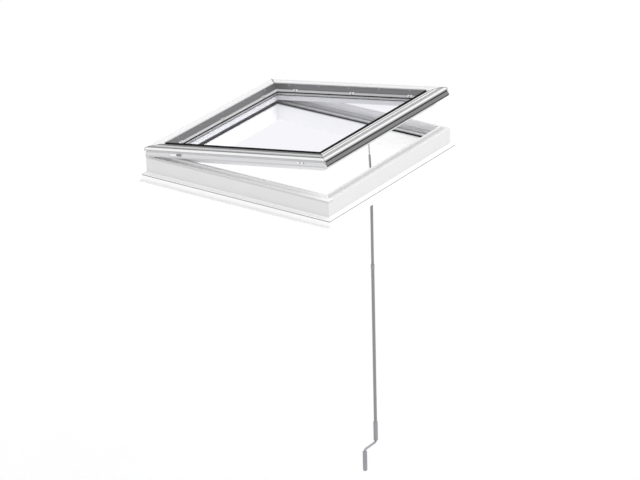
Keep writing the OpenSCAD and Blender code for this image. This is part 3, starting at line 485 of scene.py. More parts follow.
@dataclass(frozen=True)
class Zoned(Finish):
    """A finish whose profile has zones of other colours, the later ones on top.

    Attributes:
        on_sash: True where the piece is drawn with the sash raised.
        zones: The zones, measured with the sash closed.
    """

    on_sash: bool = True
    zones: tuple[Zone, ...] = ()

    def measure(self, tree: ShaderTree, by: Measure) -> Value:
        """A measure at the shaded point, with the sash closed.

        Args:
            tree: The tree that the value belongs to.
            by: The measure.

        Returns:
            The value, in metres.
        """
        x, y, z = tree.axes(tree.closed_place() if self.on_sash else tree.place())
        if by is Measure.HEIGHT:
            return z
        if by is Measure.DEPTH:
            return y
        if by is Measure.RIGHT:
            return x
        if by is Measure.MITRE:
            return abs(abs(x) - abs(y))
        if by in (Measure.INSET, Measure.RIB):
            inset = SIZES.half - abs(x).most(abs(y))
            if by is Measure.INSET:
                return inset
            return tree.math("PINGPONG", inset - SIZES.rib_mid, SIZES.rib_pitch / 2)
        beside = tree.math("GREATER_THAN", abs(x), abs(y))
        along = y * beside + x * (1 - beside)
        if by is Measure.ALONG:
            return along
        return tree.math("PINGPONG", along - SIZES.clip_mid, SIZES.clip_pitch / 2)

    def tint(self, tree: ShaderTree) -> Value:
        """The colour with each zone mixed over it.

        Args:
            tree: The material's tree.

        Returns:
            The colour.
        """
        colour = super().tint(tree)
        found: dict[Measure, Value] = {}
        for part in self.zones:
            mask: Value | float = part.share
            for span in part.spans:
                if span.by not in found:
                    found[span.by] = self.measure(tree, span.by)
                mask = found[span.by].band(span.low, span.high, span.soft) * mask
            colour = tree.mix(mask, colour, paint(part.colour))
        return colour


@dataclass(frozen=True)
class Metal(Finish):
    """Bare or plated metal, finely mottled.

    Attributes:
        mottle: Scale of the patches of gloss, per metre.
        mottle_spread: How far their gloss goes.
        pits: Scale of the fine pits, per metre.
    """

    metallic: float = 1.0
    mottle: float = 400.0
    mottle_spread: float = 0.22
    pits: float = 700.0

    def gloss(self, tree: ShaderTree) -> Value:
        """The roughness, which varies in fine patches."""
        mottle = tree.noise(self.mottle, 2.0)
        return mottle * self.mottle_spread + (self.roughness - self.mottle_spread / 2)

    def relief(self, tree: ShaderTree) -> Value:
        """Fine pits."""
        return tree.bump(tree.noise(self.pits, 2.0), self.grain_depth, 0.5)


@dataclass(frozen=True)
class SpacerMetal(Metal):
    """Bright spacer bar with a row of tiny vent holes around the glass.

    Attributes:
        pitch: Distance from hole to hole.
        row_z: Height of the row, with the sash closed.
        hole: Radius up to which a hole is dark, and radius at which it ends.
        hole_share: How much of the dark shows.
    """

    pitch: float = 0.008
    row_z: float = 0.150
    hole: tuple[float, float] = (0.0005, 0.0011)
    hole_share: float = 0.7

    def tint(self, tree: ShaderTree) -> Value:
        """Dark dots along the middle of the bar.

        Args:
            tree: The material's tree.

        Returns:
            The colour.
        """
        x, y, z = tree.axes(tree.closed_place())
        along = tree.math("PINGPONG", abs(x).least(abs(y)), self.pitch / 2)
        off_row = abs(z - self.row_z)
        dots = (1 - along.ramp(*self.hole)) * (1 - off_row.ramp(*self.hole))
        return tree.mix(dots * self.hole_share, super().tint(tree), (0.05, 0.05, 0.05))


@dataclass(frozen=True)
class Glass(Finish):
    """Clear float glass with the faint tint of its body.

    Attributes:
        index: Refractive index, so low that the panes hardly shift or mirror anything.
        wander: How much darker the colour's patches go, as a share.
        patches: Scale of the patches, per metre.
    """

    roughness: float = 0.0
    index: float = 1.035
    wander: float = 0.008
    patches: float = 1.5

    def shade(self, tree: ShaderTree) -> Value:
        """Clear glass whose colour hardly wanders.

        Args:
            tree: The material's tree.

        Returns:
            The shader.
        """
        base = paint(self.colour)
        darker = tuple(c * (1 - self.wander) for c in base)
        tint = tree.mix(tree.noise(self.patches), base, darker)
        return tree.node("ShaderNodeBsdfPrincipled", None, {
            "Base Color": tint, "Roughness": self.roughness, "IOR": self.index,
            "Transmission Weight": 1.0}).out("BSDF")


@dataclass(frozen=True)
class Rubber(Finish):
    """Black sealing rubber with a little bloom.

    Attributes:
        bloom: How much of the pale bloom shows in its patches.
        bloom_scale: Scale of those patches, per metre.
    """

    roughness: float = 0.8
    specular: float = 0.2
    wander: float = 0.10
    bloom: float = 0.08
    bloom_scale: float = 35.0
    grain: float = 1500.0
    grain_depth: float = 0.00004

    def tint(self, tree: ShaderTree) -> Value:
        """Black with pale bloom in patches."""
        patches = tree.noise(self.bloom_scale).ramp(0.52, 0.78) * self.bloom
        return tree.mix(patches, super().tint(tree), (0.10, 0.10, 0.105))


@dataclass(frozen=True)
class Lacquer(Finish):
    """Grey stoved lacquer on a round tube, with fine orange peel."""

    roughness: float = 0.38
    grain: float = 450.0
    grain_depth: float = 0.00003


# An open stretch ends here, further out than any surface with zones reaches
OPEN_END = 1.0


def up_to(by: Measure, high: float, soft: float = 0.0003) -> Span:
    """The stretch of everything below a value."""
    return Span(by, -OPEN_END, high, soft)


def past(by: Measure, low: float, soft: float = 0.0003) -> Span:
    """The stretch of everything above a value."""
    return Span(by, low, OPEN_END, soft)


def below(height: float, colour: str, soft: float = 0.0003) -> Zone:
    """A zone of everything under a height."""
    return zone(colour, up_to(Measure.HEIGHT, height, soft))


def across(low: float, high: float, colour: str, soft: float = 0.0003) -> Zone:
    """A zone of the rim's top between two insets."""
    return zone(colour, Span(Measure.INSET, low, high, soft),
                past(Measure.HEIGHT, SIZES.rim_z - 0.003))


class End(Enum):
    """The two ends of a side, each with its half of it. The first is at the left or the front."""

    FIRST = up_to(Measure.ALONG, 0.0)
    LAST = past(Measure.ALONG, 0.0)


@dataclass(frozen=True)
class MitreMark:
    """The dark line of a mitre on the rim, which both of its covers show.

    Attributes:
        low: Inset at which the line starts.
        high: Inset at which it ends.
        half: Half its width.
    """

    low: float
    high: float
    half: float = 0.003

    def on(self, end: End) -> Zone:
        """The line's zone on a cover that has the mitre at that end."""
        return zone("1E1E20", up_to(Measure.MITRE, self.half, 0.0012),
                    Span(Measure.INSET, self.low, self.high, 0.002), end.value,
                    past(Measure.HEIGHT, SIZES.rim_z - 0.006))


# Where the rim's tone, which holds painted shade, starts, in the band's round, and where it ends,
# past the inner edge
RIM_START = 0.007
RIM_PAST = SIZES.rim_in + 0.001
# How far the drip groove's painted shade runs past its edges, and the height of the painted shade
# along the fold
DRIP_SHADE_SPREAD = 0.0018
FOLD_SHADE_H = 0.0055


def cover(name: str, slot: str, *more: Zone, rim: str, gaps: str, drip: str, groove: str,
          skirt: str, foot: str) -> Zoned:
    """The lacquer of a cover profile, with a white band and zones of painted shade and
    reflection.

    Args:
        name: The finish's name.
        slot: The record's slot.
        more: Zones that lie over the rim's and under the groove's.
        rim: Screen colour of the rim, inside the band, lighter or darker from side to side with
            painted light and shade.
        gaps: Screen colour between the ribs, painted shade in the gaps.
        drip: Screen colour of the drip groove and a little beside it, painted shade.
        groove: Screen colour of the groove under the band, painted shade.
        skirt: Screen colour of the skirt, darker on some sides with painted shade and reflection.
        foot: Screen colour of the fold along the skirt's foot, painted shade.

    Returns:
        The finish.
    """
    return Zoned(name, "F8F8F8", slot, roughness=0.30, zones=(
        across(RIM_START, RIM_PAST, rim, soft=0.005),
        across(SIZES.drip[0] - DRIP_SHADE_SPREAD, SIZES.drip[1] + DRIP_SHADE_SPREAD, drip, soft=0.0006),
        zone(gaps, past(Measure.RIB, SIZES.rib_pitch / 4, 0.0002),
             Span(Measure.INSET, *SIZES.ribs)),
        *more,
        below(SIZES.band_foot, groove),
        below(SIZES.flare_z - 0.0012, skirt, soft=0.002),
        below(SIZES.skirt_z + FOLD_SHADE_H, foot, soft=0.002),
        zone("4A4A4C", up_to(Measure.MITRE, 0.0008, 0.0008), share=0.8)))


# The marks of the four corners' mitres, the near one first and then round to the right
NEAR_MARK = MitreMark(0.030, RIM_PAST)
RIGHT_MARK = MitreMark(-0.010, 0.045, half=0.005)
FAR_MARK = MitreMark(-0.010, RIM_PAST)
LEFT_MARK = MitreMark(-0.010, 0.062, half=0.005)

# The weld of a mitre in the white frames, a faint line
WELD = zone("8A8A8C", up_to(Measure.MITRE, 0.0004, 0.0012), share=0.25)
# The outer part of the left side
LEFT_SIDE = up_to(Measure.RIGHT, -0.560)
# Everything from the upper half of the kerb's rounded shoulder up
SHOULDER_UP = past(Measure.HEIGHT, 0.1445)

WHITE_PVC = Zoned("white_pvc_kerb", "E0E0E0", "white_pvc", roughness=0.32, on_sash=False, zones=(
    # Flange and cove, brighter with a painted highlight
    zone("FEFEFE", up_to(Measure.INSET, -0.002, 0.002)),
    # Painted shade on the outer wall under the shoulder, on the left
    zone("CCCCCC", up_to(Measure.INSET, 0.001), Span(Measure.HEIGHT, 0.137, 0.1425, 0.006),
         LEFT_SIDE),
    # Painted highlight on the rounded shoulder, and on the left painted light over all of the top
    # from there to the lip
    zone("F0F0F0", Span(Measure.INSET, 0.0015, 0.014, 0.008), SHOULDER_UP),
    zone("FEFEFE", Span(Measure.INSET, 0.0015, 0.040), SHOULDER_UP, LEFT_SIDE),
    # Painted light on the back of the lip and the ledge beside it, against the shade there
    zone("FEFEFE", Span(Measure.INSET, 0.038, 0.074, 0.005)),
    # Painted shade on the ledge towards its inner edge, beside the seal
    zone("88888A", Span(Measure.INSET, 0.086, 0.098, 0.004), past(Measure.HEIGHT, 0.095)),
    # Painted shade line of a small step along the back of the lip
    zone("B8B8BA", Span(Measure.HEIGHT, 0.1185, 0.1215), Span(Measure.INSET, 0.044, 0.060),
         share=0.6),
    # Wall of the light shaft, painted brighter against the shade inside the shaft
    zone("FCFCFC", past(Measure.INSET, 0.100), up_to(Measure.HEIGHT, 0.0945)),
    WELD))
# Sash frame, darker on the outer part of its left side with painted shade
WHITE_SASH = Zoned("white_pvc_sash", "ECECEE", "white_pvc", roughness=0.32,
                   zones=(zone("DCDCDE", LEFT_SIDE), WELD))
PLINTH = Zoned("white_pvc_plinth", "FDFDFD", "white_pvc", roughness=0.5, on_sash=False,
               wander=0.01, zones=(WELD,))
TAPE = Zoned("grey_tape_foam", "8C8C90", "grey_tape", roughness=0.85, wander=0.05,
             grain=1200.0, grain_depth=0.00015, on_sash=False,
             zones=(zone("FAFAFA", past(Measure.INSET, 0.060)),))
RUBBER = Rubber("black_rubber_seal", "0C0C0D", "black_rubber")
# Black rubber on the front and the left, where its black also stands for the shade of the gap at
# the rim's inner edge; painted pale on the right and the rear, where that shade doesn't show
LIP_RUBBER = Zoned("rim_rubber_lip", "0C0C0D", "black_rubber", roughness=0.8, specular=0.2,
                   zones=tuple(zone("E4E4E6", past(by, 0.515))
                               for by in (Measure.RIGHT, Measure.DEPTH)))
PALE_RUBBER = Rubber("grey_rubber_seal", "C8C8CA", "black_rubber", bloom=0.0, wander=0.02)
STEEL = Metal("zinc_steel", "B4B6BA", "steel_zinc", roughness=0.38)
SCREW_STEEL = Metal("screw_zinc", "D8D9DC", "steel_zinc", roughness=0.30)
TRIM_SCREW = Finish("trim_screw_lacquer", "A8A8AA", "steel_zinc", roughness=0.35, metallic=0.2)
# Front cover: its dark skirt, groove and fold are painted shade and a painted dark reflection
FRONT_COVER = cover(
    "cover_front_lacquer", "cover_dark",
    # Painted highlights on the rim on both sides of the drip groove
    across(0.0550, 0.0650, "FEFEFE", soft=0.001), across(0.0345, 0.0455, "F8F8F8"),
    # Painted shade on the rim along the rubber lip, and a painted dark reflection along the rim's
    # outer edge where the band rounds over
    across(0.0655, RIM_PAST, "0C0C0E", soft=0.003), across(0.003, 0.010, "C4C4C6", soft=0.002),
    NEAR_MARK.on(End.FIRST), RIGHT_MARK.on(End.LAST),
    # Painted dark reflection fading down the band to its foot
    below(SIZES.band_foot + 0.0020, "888888", soft=0.0110),
    rim="E4E4E6", gaps="8C8C8E", drip="2C2C2E", groove="101012", skirt="747474", foot="2A2A2C")
# Left cover: its darker rim, rib gaps, drip groove, groove, skirt and fold are painted shade
LEFT_COVER = cover(
    "cover_left_lacquer", "cover_light",
    # Painted dark reflection fading in over the rim towards the rubber lip, and another along the
    # rim's outer edge where the band rounds over
    across(0.068, RIM_PAST, "2C2C2E", soft=0.038), across(0.006, 0.014, "848486", soft=0.004),
    NEAR_MARK.on(End.FIRST), LEFT_MARK.on(End.LAST),
    # Painted shade at the band's foot
    below(SIZES.band_foot + 0.0040, "B0B0B2", soft=0.004),
    rim="DADADC", gaps="B4B4B6", drip="A0A0A2", groove="E4E4E6", skirt="DCDCDE", foot="CCCCCE")
# Right cover: its rim is painted lighter, and painted shade lies on the rim along the rubber lip
# and in its rib gaps, drip groove, groove, skirt and fold
RIGHT_COVER = cover(
    "cover_right_lacquer", "cover_light", across(0.070, RIM_PAST, "ECECEE", soft=0.012),
    RIGHT_MARK.on(End.FIRST), FAR_MARK.on(End.LAST),
    rim="FEFEFE", gaps="F0F0F0", drip="E0E0E2", groove="C6C6C8", skirt="D9D9DB", foot="AAAAAC")
# Rear cover: its rim is painted lighter, with painted shade in its rib gaps, drip groove, groove,
# skirt and fold
REAR_COVER = cover(
    "cover_rear_lacquer", "cover_light", LEFT_MARK.on(End.FIRST), FAR_MARK.on(End.LAST),
    rim="FEFEFE", gaps="F0F0F0", drip="E0E0E2", groove="E4E4E6", skirt="E4E4E6", foot="E0E0E2")
# Painted shade, darker towards the corners at the right and the rear
TRIM_SIDE = Zoned("trim_side_lacquer", "6E6E70", "trim_dark", roughness=0.42, zones=(
    zone("303032", up_to(Measure.MITRE, 0.0, 0.18), past(Measure.ALONG, 0.0, 0.2), share=0.7),))
BEAD = Zoned("bead_grey_lacquer", "A6A6A8", "bead_grey", roughness=0.4,
             zones=(zone("D8D8DA", past(Measure.INSET, 0.1200, 0.001)),))
ALUMINIUM = Metal("aluminium_mill", "C8C9CC", "aluminium", roughness=0.35)
# Painted brighter than the mill aluminium, against the shade inside the glazing
SPACER = SpacerMetal("aluminium_spacer", "F0F0F0", "aluminium", roughness=0.65, metallic=0.1)
# With a grey middle, and darker with painted shade on the rear side but for its left clip
CLIP = Zoned("white_clip_plastic", "F8F8F8", "white_clip", roughness=0.35, zones=(
    zone("A6A6A8", up_to(Measure.CLIP, 0.005, 0.0005)),
    zone("B4B4B6", past(Measure.DEPTH, 0.400), past(Measure.ALONG, -0.3), share=0.7)))
GLASS = Glass("clear_glass", "FBFBFD", "glass")
NUT = Finish("nut_plastic_grey", "4C4D50", "nut_plastic", roughness=0.5, grain_depth=0.00005)
ROD = Lacquer("rod_grey_lacquer", "868689", "rod_grey")
BAR = Lacquer("crank_grey_lacquer", "9C9CA2", "rod_grey", roughness=0.3)
GRIP = Finish("grip_grey_plastic", "929296", "grip_grey", roughness=0.5, grain=1800.0,
              grain_depth=0.00008)
BLOCK = Finish("setting_block_plastic", "3A3A3C", "block_plastic", roughness=0.6)
# With painted shade as grey spots on the two knobs and a grey patch on the block
FITTINGS = Zoned("white_fitting_plastic", "F4F4F4", "white_clip", roughness=0.35, zones=tuple(
    zone("8A8A8C", Span(Measure.DEPTH, low, high, 0.0002))
    for low, high in ((-0.4725, -0.4655), (-0.4485, -0.4415), (0.340, 0.3798))))


# Surfaces

# Edges that turn more than this stay sharp
SHARP_TURN = math.radians(38)


class Shape:
    """Collects grids of points into one mesh."""

    def __init__(self) -> None:
        """Starts with nothing."""
        self.points: list[np.ndarray] = []
        self.faces: list[np.ndarray] = []
        self.count = 0

    def grid(self, points: np.ndarray, closed_u: bool = False,
             closed_v: bool = False) -> "Shape":
        """Adds a surface given by points on a grid of two parameters.

        Neighbouring points (u, v), (u + 1, v), (u + 1, v + 1), (u, v + 1) make one face;
        a closed direction wraps its last line to its first.

        Args:
            points: An array of shape (U, V, 3).
            closed_u: Whether the first parameter goes round.
            closed_v: Whether the second parameter goes round.

        Returns:
            The shape itself.
        """
        n_u, n_v, _ = points.shape
        index = np.arange(n_u * n_v).reshape(n_u, n_v) + self.count
        if closed_u:
            index = np.concatenate([index, index[:1]], axis=0)
        if closed_v:
            index = np.concatenate([index, index[:, :1]], axis=1)
        quads = np.stack([index[:-1, :-1], index[1:, :-1], index[1:, 1:], index[:-1, 1:]],
                         axis=-1).reshape(-1, 4)
        self.points.append(points.reshape(-1, 3))
        self.faces.append(quads)
        self.count += n_u * n_v
        return self

    def build(self, name: str, smooth: bool = True) -> bpy.types.Object:
        """Makes the object, with doubles merged, poles closed and faces pointing out.

        Args:
            name: The object's name.
            smooth: Whether shallow edges are shaded smooth.

        Returns:
            The object, at the origin.
        """
        mesh = bpy.data.meshes.new(name)
        points = np.concatenate(self.points)
        faces = np.concatenate(self.faces)
        mesh.from_pydata(points.tolist(), [], faces.tolist())
        work = bmesh.new()
        work.from_mesh(mesh)
        bmesh.ops.remove_doubles(work, verts=work.verts[:], dist=1e-6)
        bmesh.ops.dissolve_degenerate(work, edges=work.edges[:], dist=1e-7)
        bmesh.ops.recalc_face_normals(work, faces=work.faces[:])
        work.to_mesh(mesh)
        work.free()
        if smooth:
            mesh.shade_smooth()
            mesh.set_sharp_from_angle(angle=SHARP_TURN)
        made = bpy.data.objects.new(name, mesh)
        bpy.context.scene.collection.objects.link(made)
        return made


def round_angles(around: int) -> np.ndarray:
    """Even angles once round, as a column."""
    return np.linspace(0, 2 * np.pi, around, endpoint=False)[:, None]


def turned(radius: np.ndarray, height: np.ndarray, angle: np.ndarray) -> np.ndarray:
    """Points at a radius, a height and an angle round the z axis, x being its cosine."""
    return np.stack([radius * np.cos(angle), radius * np.sin(angle), height + 0 * angle], axis=-1)


def lathe(profile: np.ndarray, around: int) -> np.ndarray:
    """A turned surface: each profile point (radius, height) goes round the z axis.

    Args:
        profile: An array of shape (V, 2).
        around: The number of points round the axis.

    Returns:
        A grid of shape (around, V, 3), closed in its first direction.
    """
    return turned(profile[:, 0][None], profile[:, 1][None], round_angles(around))


def ring(profile: np.ndarray, half: float) -> np.ndarray:
    """A square frame: each profile point (inset, height) goes round at its own inset.

    Args:
        profile: An array of shape (V, 2), closed.
        half: Half the side of the square that the insets are taken from.

    Returns:
        A grid of shape (4, V, 3), closed in both directions.
    """
    corners = np.array([[-1, -1], [1, -1], [1, 1], [-1, 1]], float)[:, None, :]
    reach = (half - profile[:, 0])[None, :, None]
    flat = corners * reach
    height = np.broadcast_to(profile[:, 1][None, :, None], flat.shape[:2] + (1,))
    return np.concatenate([flat, height], axis=-1)


def framed(points: np.ndarray, origins: np.ndarray, axes: np.ndarray) -> np.ndarray:
    """Copies of a grid, each with its z along an axis and its origin at a place.

    Args:
        points: A grid of shape (U, V, 3).
        origins: Places of shape (N, 3).
        axes: Unit vectors of shape (N, 3).

    Returns:
        An array of shape (N, U, V, 3).
    """
    aside = np.cross(axes, np.where(np.abs(axes[:, :1]) < 0.9, [[1.0, 0, 0]], [[0, 1.0, 0]]))
    aside /= np.linalg.norm(aside, axis=1, keepdims=True)
    third = np.cross(axes, aside)
    basis = np.stack([aside, third, axes], axis=1)
    return np.einsum("uvk,nkj->nuvj", points, basis) + origins[:, None, None, :]


# Sub-assemblies

@dataclass
class Assembly:
    """A group of solids and new pieces that belong together."""

    def dress(self, finishes: dict[str, Finish]) -> None:
        """Gives solids their finish.

        Args:
            finishes: The finish of each solid, by the solid's name.
        """
        for node, finish in finishes.items():
            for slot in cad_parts[node].material_slots:
                slot.material = finish.material()
            LOG.info("dressed %s with %s", node, finish.name)

    def add(self, piece: bpy.types.Object, body: str, finish: Finish, *replaced: str) -> None:
        """Finishes a new piece and lets it ride on its body.

        Args:
            piece: The new piece.
            body: The body that carries it.
            finish: Its finish.
            replaced: Names of the solids that it stands for.
        """
        piece.data.materials.append(finish.material())
        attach(piece, body)
        if replaced:
            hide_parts(*replaced)
        LOG.info("built %s on %s", piece.name, body)


@dataclass
class ScrewSet(Assembly):
    """Pan-head screws with a cross recess.

    Attributes:
        head_d: Diameter of the head.
        head_h: Height of the head.
        shank_d: Diameter of the shank.
        shank_l: Length of the shank.
        around: Points round the head.
        crown: Radii of the crown's points, as shares of the head's radius.
        crown_fall: How far the crown falls to its rim, as a share of the head's height.
        rounding: Heights of the crown's last two points, as shares of the head's height.
        slot_w: Half width of a slot, as a share of the head's radius.
        slot_reach: Distance that a slot reaches out, as a share of the head's radius.
        slot_depth: Depth of the slots, as a share of the head's height.
    """

    head_d: float = 0.008
    head_h: float = 0.0024
    shank_d: float = 0.004
    shank_l: float = 0.0065
    around: int = 32
    crown: tuple[float, ...] = (0, .08, .16, .24, .32, .40, .50, .62, .76, .88, .96, 1)
    crown_fall: float = 0.42
    rounding: tuple[float, float] = (0.50, 0.34)
    slot_w: float = 0.11
    slot_reach: float = 0.60
    slot_depth: float = 0.55

    def one(self) -> np.ndarray:
        """The surface of one screw, head upwards from z = 0.

        The profile goes down from the crown over the rounded rim to the head's underside,
        in to the shank and down to its tip. The crown's height falls with the square of
        the radius, and where a point lies in one of two crossed slots it sinks by the
        recess depth, less over the slot's flank and over the last quarter of its reach.

        Returns:
            A grid of shape (around, V, 3).
        """
        r_head, r_shank = self.head_d / 2, self.shank_d / 2
        radius = r_head * np.array(self.crown)
        height = self.head_h * (1 - self.crown_fall * (radius / r_head) ** 2)
        height[-2:] = self.head_h * np.array(self.rounding)
        top = np.stack([radius, height], axis=1)
        low = np.array([[r_head, 0], [r_shank, 0], [r_shank, -self.shank_l], [0, -self.shank_l]])
        grid = lathe(np.concatenate([top, low]), self.around)
        x, y, z = grid[..., 0], grid[..., 1], grid[..., 2]
        slot, reach = self.slot_w * r_head, self.slot_reach * r_head
        off_slot = np.minimum(np.abs(x), np.abs(y))
        inside = np.clip((1.9 * slot - off_slot) / slot, 0, 1)
        along = np.clip((reach - np.hypot(x, y)) / (0.25 * reach), 0, 1)
        on_crown = z > self.head_h * 0.45
        grid[..., 2] = z - self.slot_depth * self.head_h * inside * along * on_crown
        return grid

    def build(self, name: str, places: np.ndarray, axes: np.ndarray, body: str,
              *replaced: str, finish: Finish = SCREW_STEEL) -> None:
        """Puts a screw on each place.

        Args:
            name: Name of the piece.
            places: Where the heads' undersides sit, shape (N, 3).
            axes: The directions that the heads point in, shape (N, 3), or one for all.
            body: The body that carries them.
            replaced: The solids that they stand for.
            finish: Their finish.
        """
        shape = Shape()
        for screw in framed(self.one(), places, np.broadcast_to(axes, places.shape)):
            shape.grid(screw, closed_u=True)
        self.add(shape.build(name), body, finish, *replaced)


def around_frame(along: Sequence[float], inset: float, height: float) -> np.ndarray:
    """Places on all four sides, at distances along each side from its middle.

    Args:
        along: Distances from the middle of a side.
        inset: Distance in from the kerb's outer face.
        height: Height of the places.

    Returns:
        An array of shape (4 * len(along), 3), the front side first, then the right one.
    """
    row = np.array([[s, inset - SIZES.half, height] for s in along])
    quarter = [(1, 0), (0, 1), (-1, 0), (0, -1)]
    return np.concatenate([
        np.stack([row[:, 0] * c - row[:, 1] * s, row[:, 0] * s + row[:, 1] * c, row[:, 2]],
                 axis=1) for c, s in quarter])


def on_plate(columns: Sequence[float], face: float, rows: Sequence[float]) -> np.ndarray:
    """Places on an upright plate that faces the rear, in columns across it and rows up it."""
    return np.array([[x, face, z] for x in columns for z in rows])


@dataclass
class Kerb(Assembly):
    """The upstand kerb with its plinth, seals and hinge leaves.

    Attributes:
        leaf_face: Outer face of the kerb's hinge leaf.
        leaf_rows: Heights of the leaf's two screw rows.
        bracket_x: Distances of the opener bracket's screws from its middle.
        bracket_face: Inner face of the opener's bracket.
        bracket_rows: Heights of the bracket's screws.
    """

    leaf_face: float = 0.603
    leaf_rows: tuple[float, float] = (0.105, 0.129)
    bracket_x: tuple[float, float] = (-0.024, 0.024)
    bracket_face: float = -0.485
    bracket_rows: tuple[float, float] = (0.050, 0.070)

    def finish(self) -> None:
        """Dresses the solids."""
        self.dress({
            "base_plinth": PLINTH, "base_tape": TAPE, "kerb_frame": WHITE_PVC,
            "rebate_seal": PALE_RUBBER, "inner_edge_seal": RUBBER,
            **dict.fromkeys(("hinge_kerb_leaf_left", "hinge_kerb_leaf_right", "hinge_pins",
                             "opener_bracket"), STEEL),
        })

    def build(self) -> None:
        """Dresses the kerb and adds its screws."""
        self.finish()
        leaf = on_plate(SIZES.hinge_screws, self.leaf_face, self.leaf_rows)
        ScrewSet().build("kerb_hinge_screws", leaf, BACKWARD, "kerb", "hinge_kerb_screws")
        plate = on_plate(self.bracket_x, self.bracket_face, self.bracket_rows)
        ScrewSet().build("opener_screws", plate, BACKWARD, "kerb", "opener_bracket_screws")


@dataclass
class Sash(Assembly):
    """The glazed sash with its covers, trims, gaskets and small fittings.

    Attributes:
        trim_slope: Fall of the trim for each unit of its width.
        trim_screw_in: Distance of the trim screws from the rim's inner edge.
        trim_rows: Distances of the trim screws from the middle of a side.
        trim_t: Thickness of the trim, which the trim screws go through.
        leaf_face: Outer face of the sash's hinge leaf.
        leaf_rows: Height of the leaf's one row of screws.
        bracket_x: Distances of the sash bracket's screws from its middle.
        bracket_face: Inner face of the sash's bracket.
        bracket_rows: Height of the bracket's one row of screws.
        gasket_w: Width of the rubber lip on the rim.
        gasket_h: Height of the rubber lip on the rim.
        glass_top: Height of the outer glass face.
        glazing_lip: Inset at which the glazing gasket ends on the glass.
        glazing_under: Inset up to which the bead covers that gasket.
        glazing_h: Height of the glazing gasket.
        glass_in: Inset of the edge of the glass.
    """

    trim_slope: float = 0.5
    trim_screw_in: float = 0.009
    trim_rows: tuple[float, ...] = (-0.412, -0.206, 0.0, 0.206, 0.412)
    trim_t: float = 0.0025
    leaf_face: float = 0.598
    leaf_rows: tuple[float] = (0.170,)
    bracket_x: tuple[float, float] = (-0.020, 0.020)
    bracket_face: float = -0.482
    bracket_rows: tuple[float] = (0.123,)
    gasket_w: float = 0.009
    gasket_h: float = 0.0060
    glass_top: float = 0.162
    glazing_lip: float = 0.133
    glazing_under: float = 0.124
    glazing_h: float = 0.003
    glass_in: float = 0.100

    def finish(self) -> None:
        """Dresses the solids."""
        trims = {f"inner_trim_{side.value}": TRIM_SIDE for side in Side}
        beads = {f"glazing_bead_{side.value}": BEAD for side in Side}
        self.dress({
            "sash_frame": WHITE_SASH, "cover_front": FRONT_COVER, "cover_right": RIGHT_COVER,
            "cover_left": LEFT_COVER, "cover_rear": REAR_COVER, "corner_keys": ALUMINIUM,
            **trims, **beads, "glazing_clips": CLIP, "spacer_frame": SPACER,
            "edge_sealant": RUBBER, "rest_gasket": PALE_RUBBER, "setting_blocks": BLOCK,
            "sash_seal": RUBBER, "outer_pane": GLASS, "inner_pane": GLASS,
            "side_fitting_pills": FITTINGS, "side_fitting_blocks": FITTINGS,
            **dict.fromkeys(("hinge_sash_leaf_left", "hinge_sash_leaf_right", "sash_bracket"),
                            STEEL),
        })
        for pane in ("outer_pane", "inner_pane"):
            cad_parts[pane].visible_shadow = False

    def strip(self, name: str, profile: np.ndarray, finish: Finish, replaced: str) -> None:
        """Adds a rubber strip that runs round the raised sash.

        Args:
            name: The piece's name.
            profile: Its closed profile, each point an inset and a height.
            finish: Its finish.
            replaced: The solid that it stands for.
        """
        grid = SIZES.raised(ring(profile, SIZES.half))
        piece = Shape().grid(grid, closed_u=True, closed_v=True).build(name)
        self.add(piece, "sash", finish, replaced)

    def rim_gasket(self) -> None:
        """A rubber lip that rises along the rim's inner edge.

        The profile runs in over the rim and rises in a quarter ellipse, steepest at the
        inner edge, then drops straight back to the rim.
        """
        turn = np.linspace(0, np.pi / 2, 8)
        start = SIZES.rim_in - self.gasket_w
        rise = np.stack([start + self.gasket_w * np.sin(turn),
                         SIZES.rim_z + self.gasket_h * (1 - np.cos(turn))], axis=1)
        profile = np.concatenate([rise, [[SIZES.rim_in, SIZES.rim_z]]])
        self.strip("rim_rubber_line", profile, LIP_RUBBER, "rim_gasket")

    def glazing_gasket(self) -> None:
        """The rubber strip on the glass, with a soft lip where it shows.

        The profile runs flat from the glass edge to the bead, then falls to the lip in a
        quarter ellipse, and back along the glass.
        """
        turn = np.linspace(np.pi / 2, 0, 7)
        low, high = self.glass_top, self.glass_top + self.glazing_h
        lip = np.stack([self.glazing_under + (self.glazing_lip - self.glazing_under)
                        * np.cos(turn), low + self.glazing_h * np.sin(turn)], axis=1)
        profile = np.concatenate([[[self.glass_in, low], [self.glass_in, high]], lip])
        self.strip("glazing_rubber_strip", profile, RUBBER, "glazing_gasket")

    def screws(self) -> None:
        """The trim screws, and the screws of the hinge leaves and the bracket."""
        inset = SIZES.rim_in + self.trim_screw_in
        top = SIZES.rim_z - self.trim_screw_in * self.trim_slope
        places = around_frame(self.trim_rows, inset, top)
        lean = math.atan(self.trim_slope)
        count = len(self.trim_rows)
        inward = np.repeat([[0, 1], [-1, 0], [0, -1], [1, 0]], count, axis=0)
        axes = np.concatenate([inward * math.sin(lean),
                               np.full((4 * count, 1), math.cos(lean))], axis=1)
        ScrewSet(head_d=0.009, head_h=0.002, shank_l=self.trim_t * math.cos(lean)).build(
            "trim_cross_screws", SIZES.raised(places), SIZES.raised_vector(axes), "sash",
            "trim_screws", finish=TRIM_SCREW)
        backward = SIZES.raised_vector(BACKWARD)
        leaf = on_plate(SIZES.hinge_screws, self.leaf_face, self.leaf_rows)
        ScrewSet(shank_l=0.0055).build(
            "sash_hinge_screws", SIZES.raised(leaf), backward, "sash", "hinge_sash_screws")
        plate = on_plate(self.bracket_x, self.bracket_face, self.bracket_rows)
        ScrewSet(shank_l=0.007).build(
            "sash_bracket_cross_screws", SIZES.raised(plate), backward, "sash",
            "sash_bracket_screws")

    def build(self) -> None:
        """Dresses the sash and adds its fine pieces."""
        self.finish()
        self.rim_gasket()
        self.glazing_gasket()
        self.screws()


